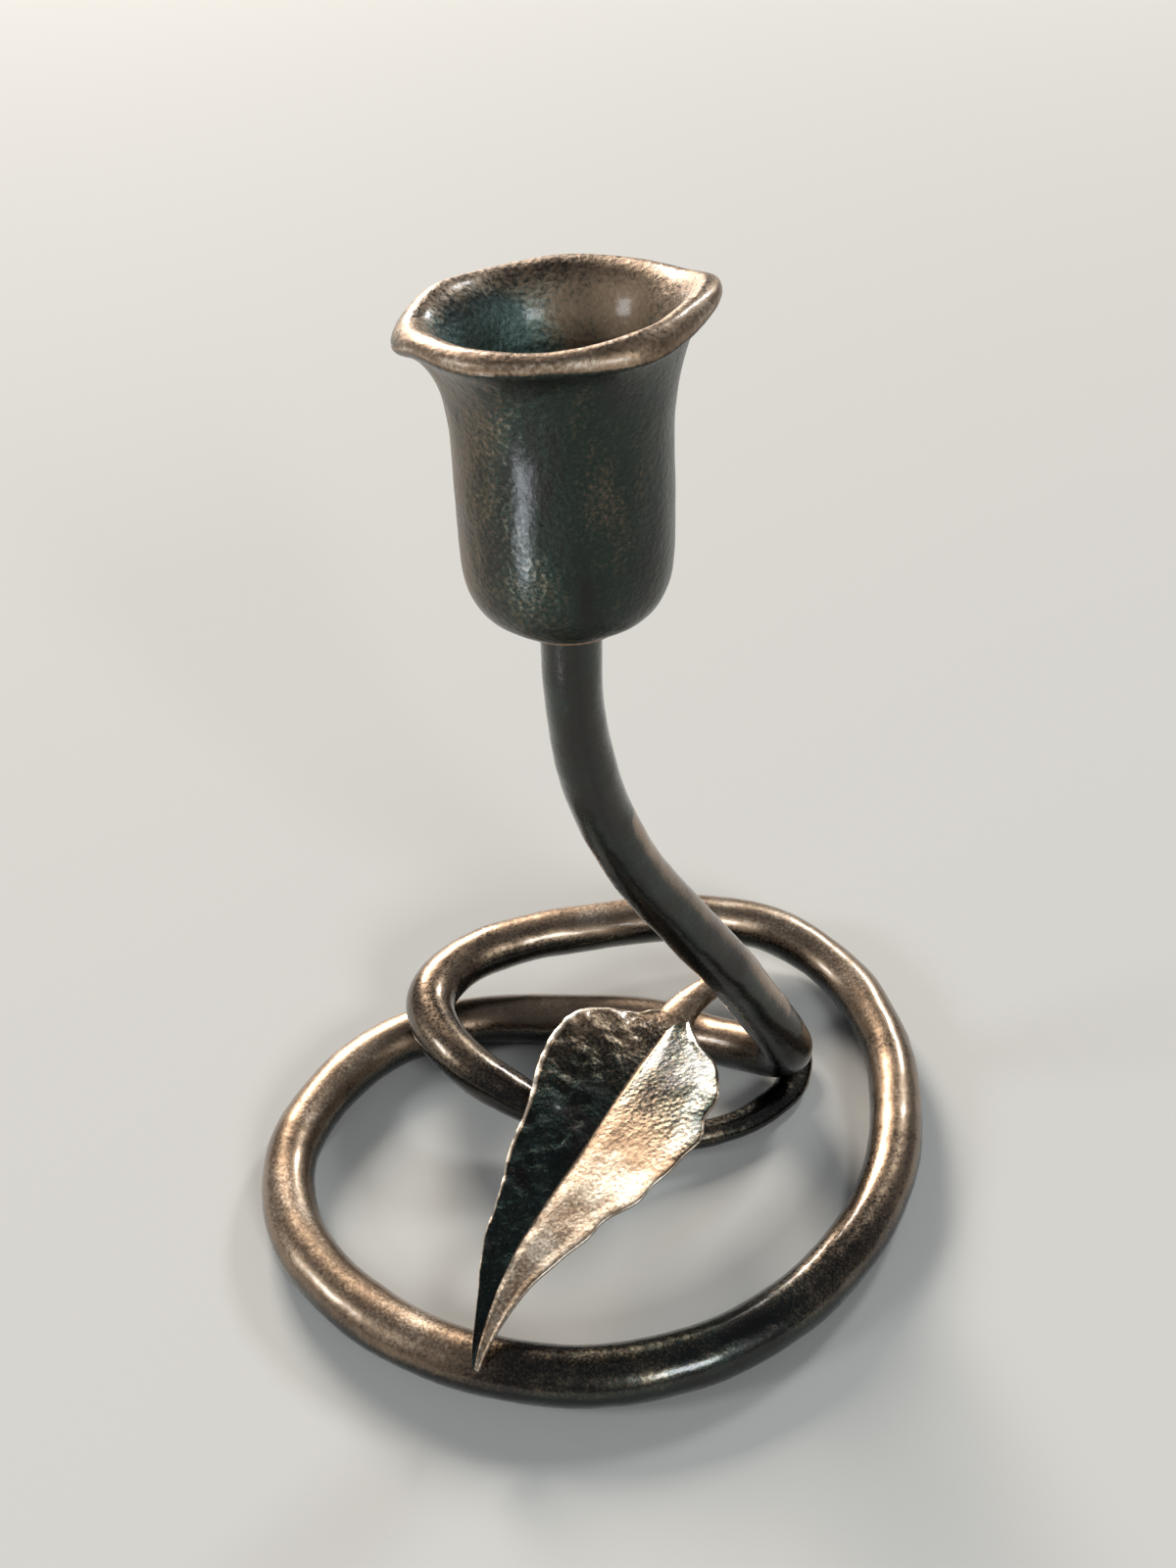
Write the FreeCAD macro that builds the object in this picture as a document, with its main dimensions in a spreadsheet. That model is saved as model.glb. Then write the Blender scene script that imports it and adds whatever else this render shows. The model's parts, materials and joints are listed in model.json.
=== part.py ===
import FreeCAD, Part
import Sketcher
import math
import os

# Spiral candle holder, forged from round steel bar.
# One bar makes the stem, the foot, the ring that stands on the table, the raised inner loop and the
# thin tendril. A bell cup with a waved lip is riveted to the stem, over a thin washer.
# A veined leaf hangs from the end of the tendril. All lengths are in millimetres, +Z is up.

V = FreeCAD.Vector
os.makedirs("parts", exist_ok=True)
doc = FreeCAD.newDocument("spiral_candle_holder")

# Driving dimensions
SIZES = [
    ("bar_diameter", 9.6, "round bar of the ring and the foot"),
    ("stem_top_diameter", 8.6, "stem, drawn down a little under the cup"),
    ("tendril_diameter", 5.0, "drawn-out end of the bar"),
    ("tendril_flat_height", 3.8, "tendril, flattened where it passes under the foot"),
    ("tendril_flat_width", 6.2, "the same place, measured across"),
    ("stalk_diameter", 4.2, "stalk of the leaf, and the end of the tendril that it meets"),
    ("weld_shrink", 0.06, "drawn-out part, thinner than the bar where it starts"),
    ("weld_root", 0.4, "how far it is let into the bar there"),
    ("ring_radius", 56.0, "middle of the bar, from the middle of the ring"),
    ("crossing_gap", 1.0, "daylight between the ring and the loop that crosses over it"),
    ("foot_gap", 1.0, "daylight between the tendril and the foot above it"),
    ("ground_flat_depth", 0.35, "levelled flats under the ring"),
    ("foot_bend_radius", 6.6, "middle of the bar, at the tight bend of the foot"),
    ("stem_height", 116.0, "shoulder of the stem above the table"),
    ("washer_diameter", 16.0, "washer between stem and cup"),
    ("washer_thickness", 1.2, "the same washer"),
    ("washer_edge_round", 0.3, "the same washer, its worn edges"),
    ("tenon_diameter", 6.0, "tenon on the stem, peened over inside the cup"),
    ("tenon_clearance", 0.1, "between the tenon and its holes, on the radius"),
    ("rivet_head_diameter", 10.0, "peened head of the tenon"),
    ("rivet_head_height", 2.0, "the same head"),
    ("rivet_head_round", 1.5, "the same head, its domed edge"),
    ("cup_height", 42.4, "seat of the cup to the mean height of its lip"),
    ("cup_diameter", 28.8, "outside of the cup, near the bottom"),
    ("cup_neck_diameter", 28.0, "outside of the cup, under its lip"),
    ("cup_base_round", 7.5, "rounded bottom of the cup, outside"),
    ("cup_floor_thickness", 3.0, "bottom of the cup"),
    ("bore_diameter", 23.0, "candle bore"),
    ("bore_floor_round", 4.0, "rounded bottom of the bore"),
    ("lip_flare_height", 9.0, "from the mean height of the lip down to the top of the straight wall"),
    ("lip_diameter", 38.8, "waved lip, mean outside"),
    ("lip_thickness", 2.8, "rolled edge of the lip"),
    ("lip_root_depth", 1.5, "how far the lip is rooted inside the wall of the cup"),
    ("lip_wave_height", 2.4, "rise and fall of the lobes, each way"),
    ("lip_wave_reach", 0.7, "reach of the lobes, each way"),
    ("leaf_length", 72.5, "blade, base to tip"),
    ("leaf_half_width", 16.0, "blade, midrib to edge at its widest"),
    ("leaf_fold_rise", 4.6, "edges of the blade above its midrib"),
    ("leaf_rib_thickness", 2.2, "blade along the midrib"),
    ("leaf_edge_thickness", 0.9, "blade along its edges"),
    ("leaf_root_width", 5.0, "where the stalk flattens into the blade"),
    ("cut_overrun", 1.0, "how far a cutting tool or a root runs on"),
]
sheet = doc.addObject("Spreadsheet::Sheet", "Sizes")
for row, (alias, value, note) in enumerate(SIZES, start=1):
    sheet.set("A%d" % row, alias)
    sheet.set("B%d" % row, str(value))
    sheet.setAlias("B%d" % row, alias)
    sheet.set("C%d" % row, note)
doc.recompute()


def size(alias):
    return float(sheet.get(alias))


# Heights that follow from the driving dimensions
BAR_RADIUS = size("bar_diameter") / 2
GROUND_CENTRE = BAR_RADIUS - size("ground_flat_depth")
CROSSING_RISE = size("bar_diameter") + size("crossing_gap")
FOOT_CENTRE = size("tendril_flat_height") + size("foot_gap") + BAR_RADIUS
CUP_SEAT = size("stem_height") + size("washer_thickness")

# Stem, from the cup down: across and depth as shares of the ring radius, height as a share of the
# stem height. The first point is the shoulder under the cup.
STEM_SHARES = [
    (-0.025, 0.071, 1.000),
    (-0.023, 0.072, 0.860),
    (0.011, 0.086, 0.742),
    (0.114, 0.122, 0.590),
    (0.268, 0.175, 0.449),
    (0.450, 0.234, 0.294),
]
# Corner of the foot: across and depth as shares of the ring radius
FOOT_CORNER_SHARES = (0.661, 0.305)
# Run under the inner loop, ring and inner loop, counter-clockwise from above: across and depth as
# shares of the ring radius, rise above the ring as a share of the rise at the crossing
COIL_SHARES = [
    (0.400, 0.475, 0.02),
    (0.180, 0.575, 0.00),
    (-0.140, 0.612, 0.00),
    (-0.440, 0.615, 0.00),
    (-0.700, 0.540, 0.00),
    (-0.905, 0.335, 0.00),
    (-1.012, 0.030, 0.00),
    (-0.950, -0.250, 0.00),
    (-0.745, -0.500, 0.00),
    (-0.420, -0.690, 0.00),
    (-0.050, -0.757, 0.00),
    (0.330, -0.680, 0.00),
    (0.660, -0.455, 0.00),
    (0.875, -0.160, 0.00),
    (0.972, 0.160, 0.00),
    (0.975, 0.470, 0.02),
    (0.880, 0.745, 0.12),
    (0.660, 0.935, 0.38),
    (0.350, 0.965, 0.68),
    (0.010, 0.895, 0.90),
    (-0.270, 0.820, 0.99),
    (-0.480, 0.705, 1.00),
]
# Drawn-out part, on from the crossing, round the inner loop, under the foot and up the back of the
# stem: across, depth and rise as for the coil, then how far the bar has come down to the tendril's
# thickness, and how far it is flattened
TENDRIL_SHARES = [
    (-0.570, 0.540, 1.00, 0.04, 0.0),
    (-0.535, 0.400, 0.98, 0.12, 0.0),
    (-0.430, 0.265, 0.87, 0.22, 0.0),
    (-0.270, 0.170, 0.58, 0.38, 0.0),
    (-0.060, 0.100, 0.22, 0.66, 0.0),
    (0.160, 0.078, -0.06, 0.93, 0.0),
    (0.370, 0.112, -0.19, 1.00, 0.15),
    (0.545, 0.205, -0.235, 1.00, 0.85),
    (0.650, 0.310, -0.235, 1.00, 1.0),
    (0.682, 0.420, -0.13, 1.00, 0.55),
    (0.645, 0.520, 0.22, 1.00, 0.1),
    (0.570, 0.567, 0.72, 1.08, 0.0),
    (0.485, 0.548, 1.18, 1.14, 0.0),
    (0.400, 0.460, 1.56, 1.15, 0.0),
]

# Leaf: base of the blade, as the coil's points are given, and the way that the blade points
LEAF_BASE_SHARES = (0.255, 0.321, 1.51)
LEAF_HEADING_DEGREES = 240.6
LEAF_DIP_DEGREES = 7.5
# Stations of the blade: distance from the base as a share of its length, then left edge, right edge
# and midrib as shares of the half width, then rise of the midrib and rise of the two edges above
# it, as shares of the fold rise
BLADE_SHARES = [
    (-0.02, 0.13, 0.13, 0.00, 0.00, 0.05, 0.05),
    (0.03, 0.38, 0.26, 0.00, 0.05, 0.25, 0.25),
    (0.07, 0.66, 0.46, 0.00, 0.10, 0.60, 0.50),
    (0.12, 0.93, 0.74, 0.02, 0.15, 1.00, 0.80),
    (0.20, 1.05, 0.94, 0.05, 0.25, 1.00, 1.00),
    (0.31, 0.98, 1.01, 0.09, 0.30, 0.95, 1.05),
    (0.42, 0.87, 0.93, 0.12, 0.30, 0.90, 1.00),
    (0.52, 0.78, 0.72, 0.16, 0.25, 0.85, 0.80),
    (0.62, 0.68, 0.46, 0.21, 0.15, 0.80, 0.55),
    (0.72, 0.57, 0.22, 0.24, 0.05, 0.70, 0.30),
    (0.81, 0.44, 0.06, 0.22, -0.02, 0.55, 0.15),
    (0.89, 0.29, 0.01, 0.16, -0.05, 0.35, 0.10),
    (0.96, 0.14, 0.01, 0.08, -0.03, 0.15, 0.05),
    (1.00, 0.05, 0.03, 0.01, 0.00, 0.02, 0.02),
]
# Each half of the blade is cupped: rise at the middle of the half, as a share of the edge's rise
BLADE_CUP_SHARE = 0.40

# Lip of the cup, in section: reach from the straight wall to the edge as a share of the whole reach,
# and height as a share of the flare's height
LIP_INSIDE_SHARES = [(0.00, 0.08), (0.14, 0.36), (0.34, 0.68), (0.62, 0.93), (0.86, 1.00)]
LIP_OUTSIDE_SHARES = [(0.86, 0.70), (0.55, 0.56), (0.28, 0.32), (0.10, 0.05)]
# Waves of the lip at even steps round the cup from +X: reach as a share of the lobes' reach, rise as
# a share of the lobes' rise
LIP_WAVE_SHARES = [
    (0.4, 0.73), (0.6, -0.17), (0.6, -0.46), (0.4, -0.50), (0.3, -0.79), (-0.7, -0.50),
    (1.0, -1.15), (-0.3, -0.38), (0.4, 0.17), (-0.9, 0.25), (0.7, 0.60), (-0.9, 0.62),
]

# An arc flatter than this share of its chord is drawn as a line
FLAT_ARC_SHARE = 1e-4
# A bar steeper than this has no level side of its own
UPRIGHT_SHARE = 0.3
# The blade thins towards its ends below this width, as a share of its half width
BLADE_THIN_BELOW_SHARE = 0.5
# Two lengths closer than this are the same length
MATCH = 1e-6
# Two places on the bar count as neighbours up to this many bar diameters along it
NEIGHBOUR_DIAMETERS = 4
# Places looked at on each edge of the route, for the gap of the bar to itself
PLACES_PER_EDGE = 14


def coil_point(shares):
    across, depth, rise = shares
    radius = size("ring_radius")
    return V(across * radius, depth * radius, GROUND_CENTRE + rise * CROSSING_RISE)


def stem_point(shares):
    across, depth, rise = shares
    radius = size("ring_radius")
    return V(across * radius, depth * radius, rise * size("stem_height"))


def unit(vector):
    return vector / vector.Length


def tangent_between(before, here, after):
    """Direction of the circle through three points, at the middle one."""
    first = here - before
    second = after - here
    return unit(first * (second.Length / first.Length) + second * (first.Length / second.Length))


def arc_from_tangent(start, end, apex):
    """Arc from start to end whose end tangents meet at apex."""
    middle = (start + end) / 2
    half_chord = (end - start).Length / 2
    to_apex = apex - middle
    if to_apex.Length < half_chord * FLAT_ARC_SHARE:
        return Part.LineSegment(start, end).toShape()
    half_turn = math.atan2(to_apex.Length, half_chord)
    rise = half_chord * math.tan(half_turn / 2)
    return Part.Arc(start, middle + unit(to_apex) * rise, end).toShape()


def biarc(start, start_way, end, end_way):
    """Two arcs that leave start and reach end in the given directions and meet smoothly."""
    chord = end - start
    ways = start_way + end_way
    square = 2 * (1 - start_way.dot(end_way))
    linear = chord.dot(ways)
    if square < FLAT_ARC_SHARE:
        reach = chord.dot(chord) / (2 * linear)
    else:
        reach = (math.sqrt(linear * linear + square * chord.dot(chord)) - linear) / square
    first_apex = start + start_way * reach
    second_apex = end - end_way * reach
    joint = (first_apex + second_apex) / 2
    return [arc_from_tangent(start, joint, first_apex), arc_from_tangent(joint, end, second_apex)]


def smooth_route(points, start_way, end_way):
    """Directions at each point, and the chain of arcs through all of them."""
    ways = [start_way]
    for before, here, after in zip(points, points[1:], points[2:]):
        ways.append(tangent_between(before, here, after))
    ways.append(end_way)
    edges = []
    for number in range(len(points) - 1):
        edges += biarc(points[number], ways[number], points[number + 1], ways[number + 1])
    return ways, edges


def rounded_corner(start, corner, end, radius):
    """A run to the corner and a run away from it, joined by a tangent arc."""
    way_in = unit(corner - start)
    way_out = unit(end - corner)
    half_turn = way_in.getAngle(way_out) / 2
    reach = radius * math.tan(half_turn)
    arc_start = corner - way_in * reach
    arc_end = corner + way_out * reach
    return [
        Part.LineSegment(start, arc_start).toShape(),
        arc_from_tangent(arc_start, arc_end, corner),
        Part.LineSegment(arc_end, end).toShape(),
    ]


def level_side(way):
    """Level direction across the bar. On an upright run it is the direction across the stem's lean."""
    side = way.cross(V(0, 0, 1))
    if side.Length < UPRIGHT_SHARE:
        side = V(0, -1, 0)
    return unit(side - way * side.dot(way))


def oval(centre, way, width, height):
    """Closed section across the bar: width is level, height is at right angles to it."""
    side = level_side(way)
    if width == height:
        curve = Part.Circle(centre, way, width / 2)
        curve.XAxis = side
    else:
        curve = Part.Ellipse(centre + side * (width / 2), centre + way.cross(side) * (height / 2), centre)
    return Part.Wire(curve.toShape())


def swept_bar(edges, diameter):
    """Bar of one thickness along a chain of tangent edges."""
    spine = Part.Wire(edges)
    start = edges[0].valueAt(edges[0].FirstParameter)
    way = unit(edges[0].tangentAt(edges[0].FirstParameter))
    return spine.makePipeShell([oval(start, way, diameter, diameter)], True, False)


def stations(edges):
    """Points and directions at the start of each edge and at the end of the last one."""
    places = []
    for edge in edges:
        first = edge.FirstParameter
        places.append((edge.valueAt(first), unit(edge.tangentAt(first))))
    end = edges[-1]
    places.append((end.valueAt(end.LastParameter), unit(end.tangentAt(end.LastParameter))))
    return places


def chain_length(edges):
    return sum(edge.Length for edge in edges)


# Route of the bar
radius = size("ring_radius")
stem_points = [stem_point(shares) for shares in STEM_SHARES]
coil_points = [coil_point(shares) for shares in COIL_SHARES]
tendril_points = [coil_point(shares[:3]) for shares in TENDRIL_SHARES]
foot_corner = V(FOOT_CORNER_SHARES[0] * radius, FOOT_CORNER_SHARES[1] * radius, FOOT_CENTRE)
leaf_base = coil_point(LEAF_BASE_SHARES)

down = V(0, 0, -1)
into_foot = unit(foot_corner - stem_points[-1])
out_of_foot = unit(coil_points[0] - foot_corner)
taper_way = tangent_between(coil_points[-2], coil_points[-1], tendril_points[0])
stalk_way = tangent_between(tendril_points[-2], tendril_points[-1], leaf_base)
heading = math.radians(LEAF_HEADING_DEGREES)
dip = math.radians(LEAF_DIP_DEGREES)
blade_way = V(math.cos(heading) * math.cos(dip), math.sin(heading) * math.cos(dip), -math.sin(dip))

stem_ways, stem_edges = smooth_route(stem_points, down, into_foot)
foot_edges = rounded_corner(stem_points[-1], foot_corner, coil_points[0], size("foot_bend_radius"))
coil_ways, coil_edges = smooth_route(coil_points, out_of_foot, taper_way)
tendril_ways, tendril_edges = smooth_route([coil_points[-1]] + tendril_points, taper_way, stalk_way)
stalk_ways, stalk_edges = smooth_route([tendril_points[-1], leaf_base], stalk_way, blade_way)

for name, edges in (("stem", stem_edges), ("foot", foot_edges), ("coil", coil_edges),
                    ("tendril", tendril_edges), ("stalk", stalk_edges)):
    radii = [round(edge.Curve.Radius, 1) for edge in edges if hasattr(edge.Curve, "Radius")]
    print(name, "length", round(chain_length(edges), 1), "tightest radius", min(radii))


def tapered_bar(edges, sections, root_before, root_after):
    """Loft through one section at the start of each edge and one at the end of the chain.
    sections holds the width and height at each point of the route, which is every second place.
    The roots are the lengths that reach straight on into the pieces before and after."""
    places = stations(edges)
    wires = []
    if root_before > 0:
        centre, way = places[0]
        wires.append(oval(centre - way * root_before, way, *sections[0]))
    for number, (centre, way) in enumerate(places):
        before = sections[number // 2]
        after = sections[(number + 1) // 2]
        width = (before[0] + after[0]) / 2
        height = (before[1] + after[1]) / 2
        wires.append(oval(centre, way, width, height))
    if root_after > 0:
        centre, way = places[-1]
        wires.append(oval(centre + way * root_after, way, *sections[-1]))
    return Part.makeLoft(wires, True, False)


def bar_places(edges, sections):
    """Places along a chain: centre, level side, its half width, upper side, its half height and the
    distance from the start of the chain."""
    places = []
    along = 0.0
    for number, edge in enumerate(edges):
        first = edge.FirstParameter
        for step in range(PLACES_PER_EDGE):
            share = step / PLACES_PER_EDGE
            parameter = first + (edge.LastParameter - first) * share
            way = unit(edge.tangentAt(parameter))
            side = level_side(way)
            spot = (number + share) / 2
            before = sections[int(spot)]
            after = sections[min(int(spot) + 1, len(sections) - 1)]
            blend = spot - int(spot)
            width = before[0] + (after[0] - before[0]) * blend
            height = before[1] + (after[1] - before[1]) * blend
            places.append((edge.valueAt(parameter), side, width / 2, way.cross(side), height / 2,
                           along + edge.Length * share))
        along += edge.Length
    return places


def least_gap(places):
    """Least daylight between two places on the bar that aren't neighbours, and where it is."""
    far_along = NEIGHBOUR_DIAMETERS * size("bar_diameter")
    far_across = 2 * size("bar_diameter")
    least = (far_across, None)
    for number, (here, side, half_width, top, half_height, along) in enumerate(places):
        for there, far_side, far_half_width, far_top, far_half_height, far_on in places[number + 1:]:
            if far_on - along < far_along:
                continue
            arm = there - here
            reach = arm.Length
            if reach > far_across:
                continue
            arm = arm / reach
            own = math.hypot(arm.dot(side) * half_width, arm.dot(top) * half_height)
            other = math.hypot(arm.dot(far_side) * far_half_width, arm.dot(far_top) * far_half_height)
            if reach - own - other < least[0]:
                least = (reach - own - other, (here + there) / 2)
    return least


def add_feature(name, shape):
    feature = doc.addObject("Part::Feature", name)
    feature.Shape = shape
    return feature


# Stem, drawn down a little towards the cup
stem_top = size("stem_top_diameter")
bar = size("bar_diameter")
welded = bar - size("weld_shrink")
stem_sections = []
for number in range(len(stem_points)):
    grown = stem_top + (welded - stem_top) * number / (len(stem_points) - 1)
    stem_sections.append((grown, grown))
stem = add_feature("Stem", tapered_bar(stem_edges, stem_sections, 0, size("weld_root")))

# Foot, ring and back of the loop at the full thickness of the bar
coil = add_feature("Coil", swept_bar(foot_edges + coil_edges, bar))

# Drawn-out end of the bar
thin = size("tendril_diameter")
tendril_sections = [(welded, welded)]
for across, depth, rise, taper, flat in TENDRIL_SHARES:
    across_size = bar + (thin - bar) * taper
    width = across_size + (size("tendril_flat_width") - across_size) * flat
    height = across_size + (size("tendril_flat_height") - across_size) * flat
    tendril_sections.append((width, height))
stalk = size("stalk_diameter")
tendril_sections[-1] = (stalk, stalk)
tendril = add_feature("Tendril", tapered_bar(tendril_edges, tendril_sections, size("weld_root"), 0))

# The bar doesn't touch itself
full_edges = foot_edges + coil_edges
whole_bar = []
for edges, sections in ((stem_edges, stem_sections),
                        (full_edges, [(bar, bar)] * len(full_edges)),
                        (tendril_edges, tendril_sections)):
    start = whole_bar[-1][-1] if whole_bar else 0.0
    whole_bar += [place[:-1] + (place[-1] + start,) for place in bar_places(edges, sections)]
gap, gap_place = least_gap(whole_bar)
print("least gap of the bar to itself", round(gap, 2), "mm near",
      [round(value, 1) for value in (gap_place.x, gap_place.y, gap_place.z)])
section = math.pi * BAR_RADIUS ** 2
print("coil volume against section times length",
      round(coil.Shape.Volume / (section * chain_length(full_edges)), 4))


def body_plane(body, role):
    for feature in body.Origin.OriginFeatures:
        if feature.Role == role:
            return feature
    raise ValueError("no plane " + role)


def revolved_body(name, corners):
    """Body turned round the Z axis from a closed outline. Each corner is a radius and a height,
    written as expressions of the sheet."""
    body = doc.addObject("PartDesign::Body", name)
    sketch = body.newObject("Sketcher::SketchObject", name + "Outline")
    sketch.AttachmentSupport = [(body_plane(body, "XZ_Plane"), "")]
    sketch.MapMode = "FlatFace"
    places = [V(sheet.evalExpression(across), sheet.evalExpression(up), 0) for across, up in corners]
    count = len(places)
    for number in range(count):
        sketch.addGeometry(Part.LineSegment(places[number], places[(number + 1) % count]), False)
    for number in range(count):
        sketch.addConstraint(Sketcher.Constraint("Coincident", number, 2, (number + 1) % count, 1))
    for number, (across, up) in enumerate(corners):
        for kind, expression, value in (("DistanceX", across, places[number].x),
                                        ("DistanceY", up, places[number].y)):
            if expression == "0":
                axis = {"DistanceX": -2, "DistanceY": -1}[kind]
                sketch.addConstraint(Sketcher.Constraint("PointOnObject", number, 1, axis))
                continue
            made = sketch.addConstraint(Sketcher.Constraint(kind, -1, 1, number, 1, value))
            sketch.setExpression("Constraints[%d]" % made, expression)
    turned = body.newObject("PartDesign::Revolution", name + "Turned")
    turned.Profile = sketch
    turned.ReferenceAxis = (sketch, ["V_Axis"])
    turned.Angle = 360.0
    doc.recompute()
    return body, turned


def round_edge(body, base, name, centre_height, edge_radius, expression):
    """Fillet on the full circle of the given radius at the given height."""
    for number, edge in enumerate(base.Shape.Edges, start=1):
        curve = edge.Curve
        if not isinstance(curve, Part.Circle):
            continue
        if abs(curve.Radius - edge_radius) < MATCH and abs(curve.Center.z - centre_height) < MATCH:
            fillet = body.newObject("PartDesign::Fillet", name)
            fillet.Base = (base, ["Edge%d" % number])
            fillet.setExpression("Radius", expression)
            doc.recompute()
            return fillet
    raise ValueError("no edge for " + name)


def bound_cylinder(name, radius_text, height_text, place):
    cylinder = doc.addObject("Part::Cylinder", name)
    cylinder.setExpression("Radius", radius_text)
    cylinder.setExpression("Height", height_text)
    cylinder.Placement.Base = place
    return cylinder


def boolean(kind, name, base, tool):
    result = doc.addObject(kind, name)
    result.Base = base
    result.Tool = tool
    doc.recompute()
    return result


# Tenon on top of the stem, with the head that is peened over inside the cup
stem_axis = V(stem_points[0].x, stem_points[0].y, 0)
tenon_reach = "Sizes.cut_overrun + Sizes.washer_thickness + Sizes.cup_floor_thickness"
tenon, tenon_turned = revolved_body("Tenon", [
    ("0", "0"),
    ("Sizes.tenon_diameter / 2", "0"),
    ("Sizes.tenon_diameter / 2", tenon_reach),
    ("Sizes.rivet_head_diameter / 2", tenon_reach),
    ("Sizes.rivet_head_diameter / 2", tenon_reach + " + Sizes.rivet_head_height"),
    ("0", tenon_reach + " + Sizes.rivet_head_height"),
])
head_top = sheet.evalExpression(tenon_reach + " + Sizes.rivet_head_height")
round_edge(tenon, tenon_turned, "HeadRound", head_top, size("rivet_head_diameter") / 2,
           "Sizes.rivet_head_round")
tenon.Placement.Base = stem_axis + V(0, 0, size("stem_height") - size("cut_overrun"))

# The bar in one piece, levelled under the ring
forged = doc.addObject("Part::MultiFuse", "ForgedBar")
forged.Shapes = [stem, coil, tendril, tenon]
table = doc.addObject("Part::Box", "Levelling")
for side in ("Length", "Width"):
    table.setExpression(side, "Sizes.ring_radius * 4")
table.setExpression("Height", "Sizes.bar_diameter")
table.Placement.Base = V(-2 * radius, -2 * radius, -size("bar_diameter"))
spiral_bar = boolean("Part::Cut", "spiral_bar", forged, table)

# Washer between the shoulder of the stem and the cup
washer_blank, washer_turned = revolved_body("WasherBlank", [
    ("Sizes.tenon_diameter / 2 + Sizes.tenon_clearance", "0"),
    ("Sizes.washer_diameter / 2", "0"),
    ("Sizes.washer_diameter / 2", "Sizes.washer_thickness"),
    ("Sizes.tenon_diameter / 2 + Sizes.tenon_clearance", "Sizes.washer_thickness"),
])
washer_under = round_edge(washer_blank, washer_turned, "WasherUnderRound", 0,
                          size("washer_diameter") / 2, "Sizes.washer_edge_round")
round_edge(washer_blank, washer_under, "WasherTopRound", size("washer_thickness"),
           size("washer_diameter") / 2, "Sizes.washer_edge_round")
seat_washer = washer_blank

# Cup: turned blank, waved lip, straight bore with a rounded bottom, hole for the tenon
wall_top = "Sizes.cup_height - Sizes.lip_flare_height"
cup_blank, cup_turned = revolved_body("CupBlank", [
    ("0", "0"),
    ("Sizes.cup_diameter / 2", "0"),
    ("Sizes.cup_diameter / 2", "Sizes.cup_base_round * 2"),
    ("Sizes.cup_neck_diameter / 2", wall_top),
    ("0", wall_top),
])
round_edge(cup_blank, cup_turned, "CupBaseRound", 0, size("cup_diameter") / 2, "Sizes.cup_base_round")


def lip_section(angle, wave):
    """Closed section of the lip in the upright plane at one angle round the cup."""
    reach_end = size("lip_diameter") / 2 + size("lip_wave_reach") * wave[0]
    lift_end = size("lip_wave_height") * wave[1]
    bore = size("bore_diameter") / 2
    neck = size("cup_neck_diameter") / 2
    flare = size("lip_flare_height")
    low = size("cup_height") - flare

    def place(across, up):
        return V(across * math.cos(angle), across * math.sin(angle), up)

    def flare_point(start, shares):
        reach, rise = shares
        across = start + (reach_end - start) * reach
        return place(across, low + flare * rise + lift_end * reach)

    root = size("lip_root_depth")
    inside = [place(bore - root, low - 2 * root)]
    inside += [flare_point(bore, shares) for shares in LIP_INSIDE_SHARES]
    outside = [flare_point(neck, shares) for shares in LIP_OUTSIDE_SHARES]
    outside.append(place(neck - root / 2, low - 2 * root))
    edge_middle = (inside[-1] + outside[0]) / 2
    tip = place(math.hypot(edge_middle.x, edge_middle.y) + size("lip_thickness") / 2, edge_middle.z)
    inside_curve = Part.BSplineCurve()
    inside_curve.interpolate(inside)
    outside_curve = Part.BSplineCurve()
    outside_curve.interpolate(outside)
    return Part.Wire([
        inside_curve.toShape(),
        Part.Arc(inside[-1], tip, outside[0]).toShape(),
        outside_curve.toShape(),
        Part.LineSegment(outside[-1], inside[0]).toShape(),
    ])


# One section at each listed wave and one between each pair
lip_sections = []
waves = len(LIP_WAVE_SHARES)
for number in range(waves):
    before, here, after, beyond = [LIP_WAVE_SHARES[(number + step) % waves] for step in (-1, 0, 1, 2)]
    between = [(9 * (here[k] + after[k]) - before[k] - beyond[k]) / 16 for k in range(2)]
    lip_sections.append(lip_section(2 * math.pi * number / waves, here))
    lip_sections.append(lip_section(2 * math.pi * (number + 1 / 2) / waves, between))
lip = add_feature("CupLip", Part.makeLoft(lip_sections, True, False, True))
bore_tool, bore_turned = revolved_body("BoreTool", [
    ("0", "Sizes.cup_floor_thickness"),
    ("Sizes.bore_diameter / 2", "Sizes.cup_floor_thickness"),
    ("Sizes.bore_diameter / 2", "Sizes.cup_height + Sizes.lip_flare_height"),
    ("0", "Sizes.cup_height + Sizes.lip_flare_height"),
])
round_edge(bore_tool, bore_turned, "BoreFloorRound", size("cup_floor_thickness"),
           size("bore_diameter") / 2, "Sizes.bore_floor_round")
tenon_hole = bound_cylinder("TenonHole", "Sizes.tenon_diameter / 2 + Sizes.tenon_clearance",
                            "Sizes.cup_floor_thickness + 2 * Sizes.cut_overrun",
                            V(0, 0, -size("cut_overrun")))
belled = boolean("Part::Fuse", "BelledCup", cup_blank, lip)
bored = boolean("Part::Cut", "BoredCup", belled, bore_tool)
candle_cup = boolean("Part::Cut", "candle_cup", bored, tenon_hole)

# Leaf: a folded, cupped blade on a short stalk
blade_side = unit(blade_way.cross(V(0, 0, 1)))
blade_up = blade_side.cross(blade_way)


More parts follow.
